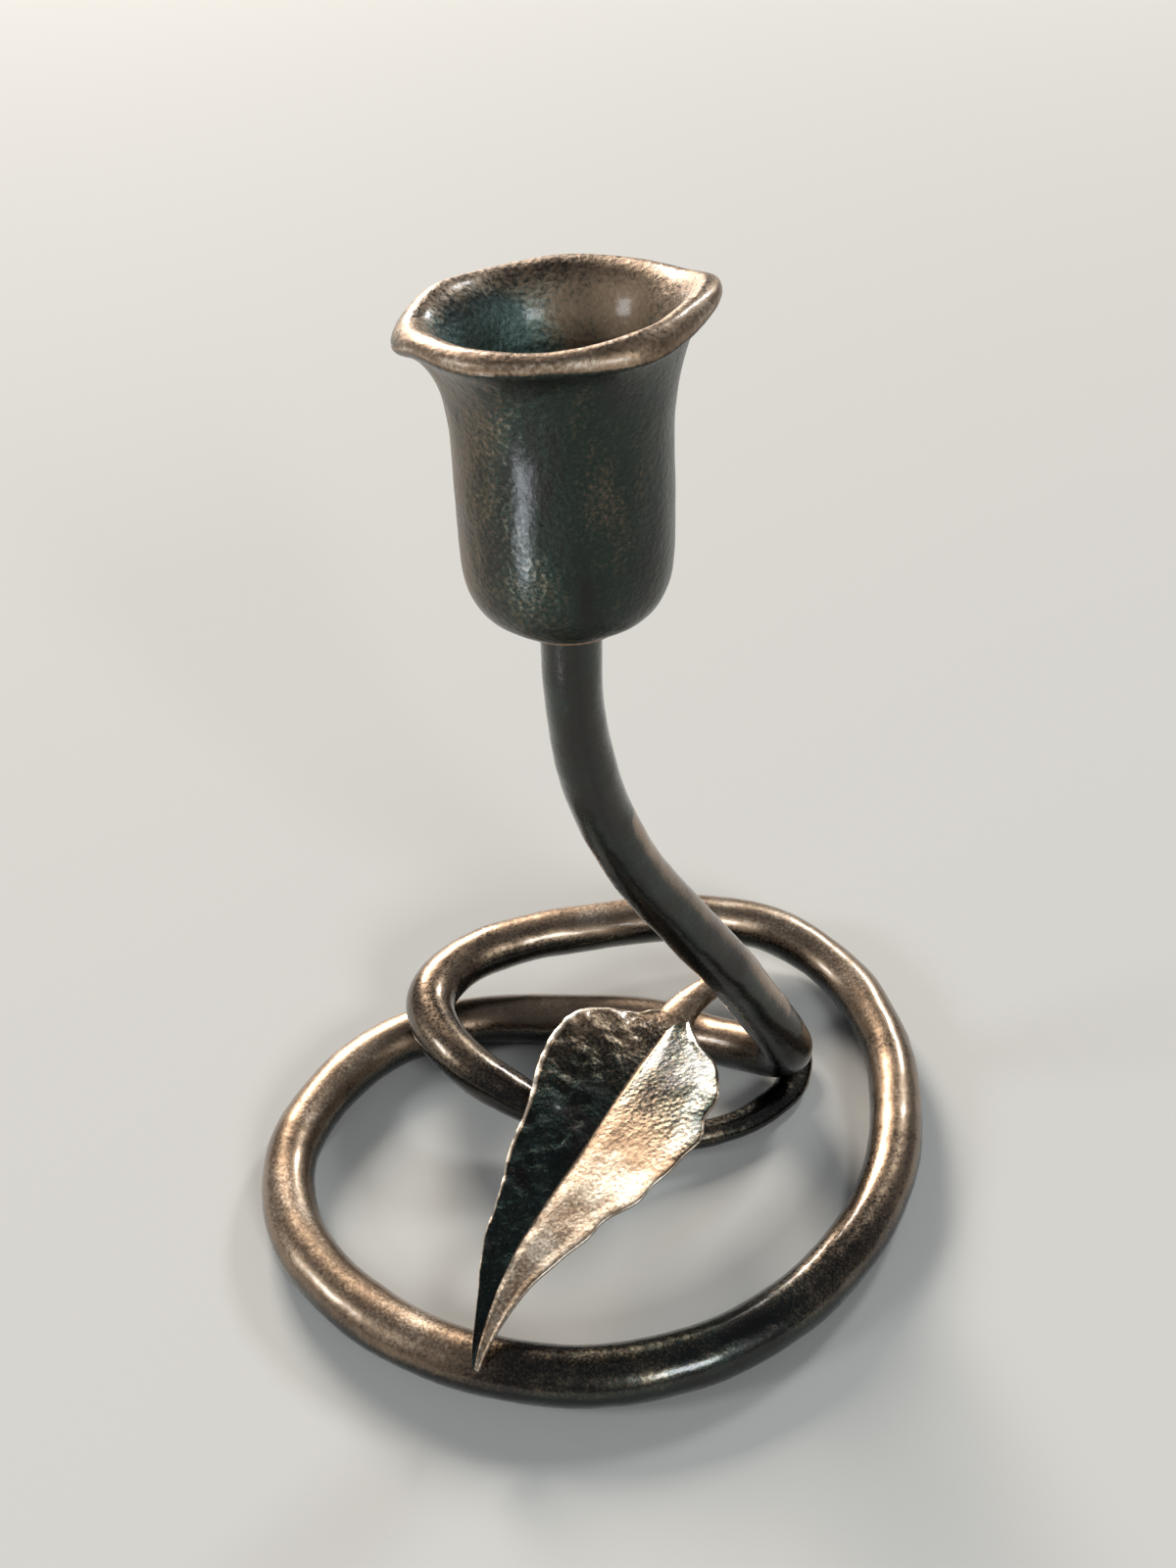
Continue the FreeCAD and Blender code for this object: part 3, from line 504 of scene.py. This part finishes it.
def sweep(bm, stations, sides, wear_and_light_of):
    """Tube through the stations: a circle, extruded and moved from one to the next."""
    layer = bm.verts.layers.float["wear_and_light"]
    ring = bmesh.ops.create_circle(bm, cap_ends=False, segments=sides, radius=0.5)["verts"]
    edges = list({edge for vert in ring for edge in vert.link_edges})
    start_edges = edges
    placed = Matrix.Identity(4)
    side = None
    for number, (place, width, height) in enumerate(stations):
        before = stations[max(0, number - 1)][0]
        after = stations[min(len(stations) - 1, number + 1)][0]
        way = (after - before).normalized()
        if side is None:
            side = way.cross(Vector((0.0, 1.0, 0.0)))
        side = (side - way * side.dot(way)).normalized()
        heading = Matrix((side, way.cross(side), way)).transposed().to_4x4()
        size = Matrix.Diagonal((width, width, width, 1.0))
        squeeze = Matrix.Identity(4)
        if height != width:
            level = way.cross(Vector((0.0, 0.0, 1.0))).normalized()
            squeeze = Matrix.Scale(height / width, 4, way.cross(level))
        target = Matrix.Translation(place) @ squeeze @ heading @ size
        if number:
            made = bmesh.ops.extrude_edge_only(bm, edges=edges)["geom"]
            ring = [item for item in made if isinstance(item, bmesh.types.BMVert)]
            members = set(ring)
            edges = [item for item in made if isinstance(item, bmesh.types.BMEdge)
                     and item.verts[0] in members and item.verts[1] in members]
        bmesh.ops.transform(bm, matrix=target @ placed.inverted(), verts=ring)
        placed = target
        for vert in ring:
            vert[layer] = wear_and_light_of(number / (len(stations) - 1))
    bmesh.ops.holes_fill(bm, edges=start_edges + edges)


def turned(bm, corners, steps, wear_and_light):
    """Solid of revolution round the cup's axis, from an outline of radii and heights. An outline
    that starts away from the axis is closed. Wear goes to the places that have none yet."""
    layer = bm.verts.layers.float["wear_and_light"]
    verts = [bm.verts.new((CUP_AXIS.x + across, CUP_AXIS.y, up)) for across, up in corners]
    edges = [bm.edges.new((a, b)) for a, b in zip(verts, verts[1:])]
    if corners[0][0] > 0:
        edges.append(bm.edges.new((verts[-1], verts[0])))
    bmesh.ops.spin(bm, geom=verts + edges, cent=CUP_AXIS, axis=(0.0, 0.0, 1.0),
                   angle=2 * math.pi, steps=steps, use_merge=True, use_duplicate=False)
    bmesh.ops.remove_doubles(bm, verts=bm.verts[:], dist=1e-6)
    for vert in bm.verts:
        if vert[layer] == 0.0:
            vert[layer] = wear_and_light


def rounded(points, parts):
    """Finer outline through the same points."""
    finer = []
    for number in range(len(points) - 1):
        before = points[max(0, number - 1)]
        start, end = points[number], points[number + 1]
        after = points[min(len(points) - 1, number + 2)]
        for part in range(parts):
            t = part / parts
            finer.append(tuple(
                0.5 * (2 * start[k] + (end[k] - before[k]) * t
                       + (2 * before[k] - 5 * start[k] + 4 * end[k] - after[k]) * t ** 2
                       + (3 * start[k] - before[k] - 3 * end[k] + after[k]) * t ** 3)
                for k in range(len(start))))
    return finer + [points[-1]]


def new_mesh():
    bm = bmesh.new()
    bm.verts.layers.float.new("wear_and_light")
    return bm


def hammered(bm, depth, dent_mm):
    """Low hammer dents and a finer unevenness, pressed in along the normals."""
    bmesh.ops.recalc_face_normals(bm, faces=bm.faces[:])
    bm.normal_update()
    moves = []
    for vert in bm.verts:
        dents = noise.noise(vert.co / (dent_mm * MM))
        fine = noise.noise(vert.co / (dent_mm * MM * FINE_DENT_SHARE) + FINE_DENT_START)
        # The last number presses the whole face in a little, so that the piece doesn't grow
        moves.append(vert.normal * (depth * (dents * 0.8 + fine * 0.3 - 0.25)))
    for vert, move in zip(bm.verts, moves):
        vert.co += move


def finished(bm, name, nodes, material):
    """Makes the piece, gives it its finish and ties it to the frame."""
    bmesh.ops.recalc_face_normals(bm, faces=bm.faces[:])
    for face in bm.faces:
        face.smooth = True
    mesh = bpy.data.meshes.new(name)
    bm.to_mesh(mesh)
    bm.free()
    piece = bpy.data.objects.new(name, mesh)
    bpy.context.scene.collection.objects.link(piece)
    piece.data.materials.append(material)
    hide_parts(*nodes)
    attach(piece, "root")


def ring_place(shares, bar):
    """Place of a point of the coil."""
    across, depth, rise = shares[:3]
    low = bar.bar_diameter / 2 - bar.ground_flat_depth
    height = low + rise * (bar.bar_diameter + bar.crossing_gap)
    return Vector((across * bar.ring_radius, depth * bar.ring_radius, height)) + coil_shift(bar)


def coil_shift(bar):
    """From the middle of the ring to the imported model's origin, taken from the cup's axis."""
    return Vector((CUP_AXIS.x - STEM_SHARES[0][0] * bar.ring_radius,
                   CUP_AXIS.y - STEM_SHARES[0][1] * bar.ring_radius, 0.0))


def blade_heading():
    turn = math.radians(LEAF_HEADING_DEGREES)
    dip = math.radians(LEAF_DIP_DEGREES)
    return Vector((math.cos(turn) * math.cos(dip), math.sin(turn) * math.cos(dip), -math.sin(dip)))


def bar_wear_and_shade(share):
    """Brushing along the bar, from the stem's top to the tendril's end, with painted shade on the ring's
    front right.
    """
    for (low, first), (high, last) in zip(BAR_WEAR_AND_SHADE, BAR_WEAR_AND_SHADE[1:]):
        if share <= high:
            return between(first, last, (share - low) / (high - low))
    return BAR_WEAR_AND_SHADE[-1][1]


class MakeBar(bpy.types.Operator):
    """Forges the bar: stem, foot, ring, inner loop, tendril and tenon"""
    bl_idname = "candle_holder.make_bar"
    bl_label = "Spiral bar"

    def execute(self, context):
        bar = context.scene.candle_bar
        finish = context.scene.candle_finish
        shift = coil_shift(bar)
        stem = [Vector((a * bar.ring_radius, d * bar.ring_radius, h * SHOULDER)) + shift
                for a, d, h in STEM_SHARES]
        coil = [ring_place(shares, bar) for shares in COIL_SHARES]
        tendril = [ring_place(shares, bar) for shares in TENDRIL_SHARES]
        corner = Vector((FOOT_CORNER_SHARES[0] * bar.ring_radius, FOOT_CORNER_SHARES[1] * bar.ring_radius,
                         bar.tendril_flat_height + bar.foot_gap + bar.bar_diameter / 2)) + shift
        leaf_base = ring_place(LEAF_BASE_SHARES, bar)
        full = bar.bar_diameter
        way_in = (corner - stem[-1]).normalized()
        way_out = (coil[0] - corner).normalized()
        # Stem, a little thinner at the top
        grown = [between(bar.stem_top_diameter, full, number / (len(stem) - 1))
                 for number in range(len(stem))]
        stations = curved_run(stem, chain_ways(stem, Vector((0.0, 0.0, -1.0)), way_in),
                              [(size, size) for size in grown], bar.step)
        # Tight bend of the foot
        half_turn = way_in.angle(way_out) / 2
        reach = bar.foot_bend_radius * math.tan(half_turn)
        bend = [stem[-1], corner - way_in * reach]
        inward = (way_out - way_in).normalized()
        centre = corner + inward * (bar.foot_bend_radius / math.cos(half_turn))
        axis = way_in.cross(way_out).normalized()
        spoke = bend[-1] - centre
        for part in range(1, FOOT_BEND_PARTS + 1):
            bend.append(centre + Matrix.Rotation(2 * half_turn * part / FOOT_BEND_PARTS, 3, axis) @ spoke)
        bend.append(coil[0])
        stations += curved_run(bend, chain_ways(bend, way_in, way_out),
                               [(full, full)] * len(bend), bar.step)
        # Ring, loop and tendril
        sizes = [(full, full)] * len(coil)
        for taper, flat in [shares[3:] for shares in TENDRIL_SHARES]:
            thick = between(full, bar.tendril_diameter, taper)
            sizes.append((between(thick, bar.tendril_flat_width, flat),
                          between(thick, bar.tendril_flat_height, flat)))
        sizes[-1] = (bar.stalk_diameter, bar.stalk_diameter)
        route = coil + tendril
        last_way = chain_ways([route[-2], route[-1], leaf_base], way_out, way_out)[1]
        stations += curved_run(route, chain_ways(route, way_out, last_way), sizes, bar.step)
        stations.append((route[-1], bar.stalk_diameter, bar.stalk_diameter))
        bm = new_mesh()
        layer = bm.verts.layers.float["wear_and_light"]
        sweep(bm, relaxed(stations, SMOOTHING_PASSES), BAR_SIDES, bar_wear_and_shade)
        hammered(bm, bar.hammering, BAR_DENT)
        bm.normal_update()
        for vert in bm.verts:
            # The brush reaches the upper faces, and the lower faces are painted darker as shade; the flats
            # under the ring are level with the table
            vert[layer] *= between(0.12, 1.0, eased(vert.normal.z * 1.3 + 0.02))
            # Painted highlight: a bright line along the outer, right side of the leaning stem and of its foot
            if (STEM_HIGHLIGHT_LOW * MM < vert.co.z < STEM_HIGHLIGHT_HIGH * MM
                    or (vert.co - corner).length < FOOT_HIGHLIGHT_REACH * MM):
                vert[layer] += STEM_HIGHLIGHT_LEVEL * clamped((vert.normal.x - 0.72) / 0.2)
            vert.co.z = min(max(vert.co.z, 0.0), SHOULDER)
        # Tenon and its peened head
        tenon = bar.tenon_diameter / 2
        head = bar.head_diameter / 2
        floor = CUP_SEAT + CUP_INSIDE[-1][1] * MM
        root = SHOULDER - TENON_ROOT * MM
        outline = [(0.0, root), (tenon, root), (tenon, floor), (head, floor)]
        for part in range(1, HEAD_PARTS + 1):
            turn = math.pi / 2 * part / HEAD_PARTS
            outline.append((head * math.cos(turn), floor + HEAD_HEIGHT * MM * math.sin(turn)))
        outline[-1] = (0.0, floor + HEAD_HEIGHT * MM)
        turned(bm, outline, HEAD_SIDES, HEAD_WEAR)
        material = forged_steel(
            "Forged round bar, oxide wire brushed", finish,
            blotch_mm=13.0, grit_mm=0.50, pit_mm=1.3, roughness=0.22, relief=0.25, wax=0.8)
        finished(bm, "spiral_bar_forged", ["spiral_bar"], material)
        return {"FINISHED"}


def cup_finish(rise, out, normal, lip_wear):
    """Wear and kept scale of a place on the cup, with painted sheen, highlight and reflection in them. The
    way out leads from the cup's axis.
    """
    if normal.dot(out) > 0.35 and normal.z < 0.2:
        # Outside: oxide, a little browner on the flank to the left as a painted sheen of light; the lip's
        # edge takes the lip's wear where it faces up
        sheen_flank = max(0.0, out.dot(PAINTED_SHEEN_FLANK)) ** 3
        rim = clamped((normal.z + 0.35) / 0.5) if rise > LIP_START * MM else 0.0
        return CUP_OUTSIDE_WEAR + 0.34 * sheen_flank + (lip_wear - CUP_OUTSIDE_WEAR) * rim, 0.05 * (1 - rim)
    # Inside: loose scale below, also a painted reflection, speckled bronze where the funnel opens, deeper on
    # the brushed side as a painted highlight too, rubbed lip above
    brushed = max(0.0, out.dot(BRUSHED_AND_LIT_SIDE)) ** 2
    depth = clamped((rise - (FUNNEL_START - BRUSHED_AND_LIT_DEEPER * brushed) * MM) / (FUNNEL_FADE * MM))
    lip = eased((rise - LIP_START * MM) / (LIP_FADE * MM))
    wear_and_light = between(0.02 + (0.22 + 0.58 * brushed) * depth, max(lip_wear, CUP_LIP_WEAR), lip)
    # The underside faces down and keeps no loose scale
    return wear_and_light, (1.0 - 0.35 * depth) * (1 - lip) if normal.z > -0.5 else 0.0


class MakeCup(bpy.types.Operator):
    """Turns the bell cup and waves its lip"""
    bl_idname = "candle_holder.make_cup"
    bl_label = "Candle cup"

    def execute(self, context):
        cup = context.scene.candle_cup
        finish = context.scene.candle_finish
        outline = rounded(CUP_OUTSIDE + CUP_EDGE + CUP_INSIDE, CUP_OUTLINE_PARTS)
        # The smoothed outline doesn't dip below the seat
        corners = [(across * MM, CUP_SEAT + max(up, 0.0) * MM) for across, up in outline]
        bm = new_mesh()
        turned(bm, corners, cup.turned_steps, 0.0)
        layer = bm.verts.layers.float["wear_and_light"]
        # One lobe more at each end, so that the waves run on smoothly where they close
        lobes = [LIP_LOBES[-1]] + LIP_LOBES + LIP_LOBES[:2]
        around = rounded(lobes, LIP_LOBE_PARTS)[LIP_LOBE_PARTS:-LIP_LOBE_PARTS]
        places = len(LIP_LOBES) * LIP_LOBE_PARTS
        edge_reach = CUP_EDGE[1][0] * MM
        bore = BORE_RADIUS * MM
        neck = NECK_RADIUS * MM
        for vert in bm.verts:
            arm = Vector((vert.co.x - CUP_AXIS.x, vert.co.y - CUP_AXIS.y, 0.0))
            rise = vert.co.z - CUP_SEAT
            if rise < cup.lip_start:
                continue
            turn = math.degrees(math.atan2(arm.y, arm.x)) % 360 / 360 * places
            spot = int(turn)
            here, after = around[spot % places], around[(spot + 1) % places]
            reach, lift, curl = [between(here[k], after[k], turn - spot) * cup.lip_scale * MM
                                 for k in range(3)]
            out = clamped((arm.length - bore) / (edge_reach - bore))
            up = min(1.0, (rise - cup.lip_start) / (LIP_RISE * MM))
            weight = eased(up) * (0.25 + 0.75 * out)
            vert.co += arm.normalized() * (reach * weight)
            vert.co.z += lift * weight - curl * weight * out ** 4
            vert[layer] = clamped((arm.length - neck) / (edge_reach - neck)) * min(1.0, up * 1.2)
        hammered(bm, cup.hammering, CUP_DENT)
        bm.normal_update()
        scale = bm.verts.layers.float.new("scale")
        for vert in bm.verts:
            out = Vector((vert.co.x - CUP_AXIS.x, vert.co.y - CUP_AXIS.y, 0.0)).normalized()
            vert[layer], vert[scale] = cup_finish(vert.co.z - CUP_SEAT, out, vert.normal, vert[layer])
            vert.co.z = max(vert.co.z, CUP_SEAT)
        material = forged_steel(
            "Forged cup, pitted oxide, rubbed lip", finish,
            blotch_mm=8.0, grit_mm=0.55, pit_mm=0.9, roughness=0.32, relief=0.40, wax=0.3,
            streak_stretch=2.6, speckle=1.2, coolness=0.05)
        finished(bm, "candle_cup_forged", ["candle_cup"], material)
        return {"FINISHED"}


class MakeWasher(bpy.types.Operator):
    """Turns the thin washer between stem and cup"""
    bl_idname = "candle_holder.make_washer"
    bl_label = "Seat washer"

    def execute(self, context):
        finish = context.scene.candle_finish
        low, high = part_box("seat_washer")
        outside = (high[0] - low[0]) / 2
        inside = HOLE_RADIUS * MM
        soft = WASHER_EDGE_ROUND * MM
        outline = [(inside, low[2]), (outside - soft, low[2])]
        for part in range(1, WASHER_EDGE_PARTS):
            turn = math.pi * part / WASHER_EDGE_PARTS - math.pi / 2
            middle = (low[2] + high[2]) / 2
            outline.append((outside - soft + soft * math.cos(turn),
                            middle + (high[2] - low[2]) / 2 * math.sin(turn)))
        outline += [(outside - soft, high[2]), (inside, high[2])]
        bm = new_mesh()
        turned(bm, outline, WASHER_SIDES, WASHER_WEAR)
        material = forged_steel(
            "Punched steel washer, rubbed edge", finish,
            blotch_mm=5.0, grit_mm=0.4, pit_mm=0.9, roughness=0.28, relief=0.25, wax=0.4)
        finished(bm, "seat_washer_turned", ["seat_washer"], material)
        return {"FINISHED"}


def blade_point(leaf, row, across, face):
    """A point of the blade: how far along, to the left and up from its base.
    Across runs from -1 at the right edge to 1 at the left, and face is 1 on top and -1 below."""
    along, left, right, middle, mid_rise, left_rise, right_rise = row
    reach = abs(across)
    edge, rise = (left, left_rise) if across > 0 else (-right, right_rise)
    if across < 0:
        # The right edge waves, in height as well
        wave = sum(math.sin(along * pace + start) * share for pace, share, start in RIGHT_EDGE_WAVES)
        wave *= min(1.0, right * 2)
        rise += wave * RIGHT_EDGE_RISE
        edge -= wave * RIGHT_EDGE_REACH
    else:
        edge += math.sin(along * LEFT_EDGE_WAVE) * LEFT_EDGE_REACH * min(1.0, left * 2)
    narrow = min(1.0, (left + right) / 0.5)
    thick = between(leaf.rib_thickness, leaf.edge_thickness, min(1.0, reach * 1.4)) * (1 + narrow) / 2
    # The edge is worn thin and round
    thick *= 0.45 + 0.55 * math.sqrt(clamped((1 - reach) * 9))
    # The fold is a crisp groove on the upper face
    groove = -GROOVE_DEPTH * MM * math.exp(-(reach * 9) ** 2) * narrow if face > 0 else 0.0
    lift = mid_rise + rise * (0.6 * reach + 0.4 * reach * reach)
    return (along * leaf.length,
            between(middle, edge, reach) * leaf.half_width,
            lift * leaf.fold_rise + face * thick / 2 + groove)


def blade_wear_and_light(along, across):
    """Wear and painted light of the blade's upper face. The left half kept its oxide and is painted dark as
    the shaded half, the right half is brushed and painted bright as the lit half, the edges are rubbed and
    painted as bright rims, and the brush reached the root."""
    reach = abs(across)
    if reach < 0.03:
        return LEAF_FOLD_WEAR
    if reach > (0.94 if across > 0 else 0.965):
        return LEAF_RIM_WEAR_AND_HIGHLIGHT
    if across > 0.02:
        wear_and_light = LEAF_OXIDE_AND_SHADE_WEAR
    else:
        # Painted highlight, brightest from the middle to the tip, browner along the upper right edge
        low = math.exp(-((along - 0.54) / 0.20) ** 2) if along < 0.54 else 1.25 - 0.46 * along
        edge_brown = math.exp(-((along - 0.34) / 0.14) ** 2) * max(0.0, reach - 0.35)
        wear_and_light = 0.24 + 0.94 * low - 0.55 * edge_brown
    if across > 0 and along < 0.36:
        wear_and_light += 0.85 * (1 - along / 0.36) * (0.55 + 0.45 * reach)
    return wear_and_light


class MakeLeaf(bpy.types.Operator):
    """Forges the folded leaf and its stalk"""
    bl_idname = "candle_holder.make_leaf"
    bl_label = "Leaf"

    def execute(self, context):
        bar = context.scene.candle_bar
        leaf = context.scene.candle_leaf
        finish = context.scene.candle_finish
        base = ring_place(LEAF_BASE_SHARES, bar)
        way = blade_heading()
        side = way.cross(Vector((0.0, 0.0, 1.0))).normalized()
        up = side.cross(way)
        table = rounded(BLADE_SHARES, BLADE_ROW_PARTS)
        bm = new_mesh()
        layer = bm.verts.layers.float["wear_and_light"]
        top = bmesh.ops.create_grid(bm, x_segments=BLADE_GRID[0], y_segments=BLADE_GRID[1], size=1.0)["verts"]
        copied = bmesh.ops.duplicate(bm, geom=bm.verts[:] + bm.edges[:] + bm.faces[:])["geom"]
        bottom = [item for item in copied if isinstance(item, bmesh.types.BMVert)]
        for verts, face in ((top, 1.0), (bottom, -1.0)):
            for vert in verts:
                at = (vert.co.x + 1) / 2 * (len(table) - 1)
                spot = min(int(at), len(table) - 2)
                row = [between(low, high, at - spot) for low, high in zip(table[spot], table[spot + 1])]
                across = vert.co.y
                ahead, aside, above = blade_point(leaf, row, across, face)
                vert[layer] = blade_wear_and_light(row[0], across) if face > 0 else LEAF_UNDER_WEAR
                vert.co = base + way * ahead + side * aside + up * above
        loops = [edge for edge in bm.edges if edge.is_boundary]
        bmesh.ops.bridge_loops(bm, edges=loops)
        # Dents from the hammer
        bmesh.ops.recalc_face_normals(bm, faces=bm.faces[:])
        bm.normal_update()
        for vert in bm.verts:
            dents = sum(0.9 * noise.noise(vert.co / (size * MM)) for size in LEAF_DENTS)
            # The dents show on the left half; the brush smoothed the right one
            left_half = (vert.co - base).dot(side) - 0.12 * leaf.half_width
            share = between(0.10, 1.0, clamped(left_half / (0.2 * leaf.half_width)))
            vert.co += up * (leaf.hammering * dents * share)
        # Stalk, from the tendril's end into the base of the blade
        ends = [ring_place(shares, bar) for shares in TENDRIL_SHARES[-2:]]
        stalk_way = chain_ways([ends[0], ends[1], base], way, way)[1]
        points = [ends[1], base, base + way * (0.07 * leaf.length)]
        thin = bar.stalk_diameter
        stations = curved_run(points, [stalk_way, way, way],
                              [(thin, thin), (thin * 1.7, thin * 0.8), (thin * 1.4, thin * 0.4)],
                              STALK_STEP * MM)
        sweep(bm, stations, STALK_SIDES, lambda share: STALK_WEAR)
        material = forged_steel(
            "Hammered leaf, oxide wire brushed", finish,
            blotch_mm=7.0, grit_mm=0.55, pit_mm=0.9, roughness=0.24, relief=0.38, wax=0.5,
            speckle=1.1, coolness=0.05)
        finished(bm, "leaf_forged", ["leaf"], material)
        return {"FINISHED"}


def hang_lamp(data, place, aim):
    """Hangs a lamp out of the camera's sight, turned to what it lights."""
    lamp = bpy.data.objects.new(data.name, data)
    lamp.location = place
    lamp.rotation_euler = (aim - Vector(place)).to_track_quat("-Z", "Y").to_euler()
    lamp.visible_camera = False
    bpy.context.scene.collection.objects.link(lamp)


class MakeStage(bpy.types.Operator):
    """Lays the pale floor, hangs the lamps and stands the camera"""
    bl_idname = "candle_holder.make_stage"
    bl_label = "Stage"

    def execute(self, context):
        scene = context.scene
        bm = bmesh.new()
        bmesh.ops.create_grid(bm, x_segments=1, y_segments=1, size=FLOOR_HALF_WIDTH)
        mesh = bpy.data.meshes.new("Floor")
        bm.to_mesh(mesh)
        bm.free()
        floor = bpy.data.objects.new("Floor", mesh)
        scene.collection.objects.link(floor)
        # Matt card, so that the floor carries a soft shadow and no gloss
        card = bare_material("Matt pale card")
        shader = node(card.node_tree, "ShaderNodeBsdfPrincipled", {}, {
            "Base Color": linear(scene.candle_finish.floor), "Roughness": 0.9})
        node(card.node_tree, "ShaderNodeOutputMaterial", {}, {"Surface": shader.outputs[0]})
        mesh.materials.append(card)
        for name, place, width, power, colour in LAMPS:
            data = bpy.data.lights.new(name, "AREA")
            data.shape = "RECTANGLE"
            data.size = width
            data.size_y = width
            data.energy = power
            data.color = colour
            hang_lamp(data, place, LAMP_AIM)
        # Small snoot on the cup, from low in front
        spot = bpy.data.lights.new("Cup snoot", "SPOT")
        spot.energy = SNOOT_POWER
        spot.spot_size = math.radians(SNOOT_ANGLE)
        spot.spot_blend = 1.0
        spot.shadow_soft_size = SNOOT_RADIUS
        spot.color = SNOOT_COLOUR
        hang_lamp(spot, SNOOT_PLACE, SNOOT_AIM)
        world = bpy.data.worlds.new("Soft room")
        world.use_nodes = True
        background = world.node_tree.nodes["Background"]
        background.inputs["Color"].default_value = ROOM_COLOUR
        background.inputs["Strength"].default_value = ROOM_STRENGTH
        scene.world = world
        data = bpy.data.cameras.new("Camera")
        data.sensor_width = SENSOR_WIDTH
        data.lens = SENSOR_WIDTH * LENS_SHARE
        data.clip_start = 0.01
        camera = bpy.data.objects.new("Camera", data)
        pitch = Matrix.Rotation(math.radians(90 - CAMERA_PITCH), 4, "X")
        roll = Matrix.Rotation(math.radians(CAMERA_ROLL), 4, "Z")
        stand = Vector(CAMERA_STAND) * MM + coil_shift(scene.candle_bar)
        camera.matrix_world = Matrix.Translation(stand) @ pitch @ roll
        scene.collection.objects.link(camera)
        scene.camera = camera
        scene.view_settings.view_transform = "Standard"
        return {"FINISHED"}


class CandleHolderPanel(bpy.types.Panel):
    """Sizes, finishes and pieces of the candle holder"""
    bl_idname = "VIEW3D_PT_candle_holder"
    bl_label = "Candle holder"
    bl_space_type = "VIEW_3D"
    bl_region_type = "UI"
    bl_category = "Candle holder"

    def draw(self, context):
        for settings in (context.scene.candle_bar, context.scene.candle_cup,
                         context.scene.candle_leaf, context.scene.candle_finish):
            box = self.layout.box()
            for name in settings.__annotations__:
                box.prop(settings, name)
        for maker in MAKERS:
            self.layout.operator(maker.bl_idname)


SETTINGS = {"candle_bar": BarSettings, "candle_cup": CupSettings, "candle_leaf": LeafSettings,
            "candle_finish": FinishSettings}
MAKERS = (MakeBar, MakeCup, MakeWasher, MakeLeaf, MakeStage)


def register():
    for name, group in SETTINGS.items():
        bpy.utils.register_class(group)
        setattr(bpy.types.Scene, name, bpy.props.PointerProperty(type=group))
    for item in MAKERS + (CandleHolderPanel,):
        bpy.utils.register_class(item)


def unregister():
    for item in reversed(MAKERS + (CandleHolderPanel,)):
        bpy.utils.unregister_class(item)
    for name, group in SETTINGS.items():
        delattr(bpy.types.Scene, name)
        bpy.utils.unregister_class(group)


def main():
    register()
    bpy.ops.candle_holder.make_bar()
    bpy.ops.candle_holder.make_cup()
    bpy.ops.candle_holder.make_washer()
    bpy.ops.candle_holder.make_leaf()
    bpy.ops.candle_holder.make_stage()


if __name__ == "__main__":
    main()
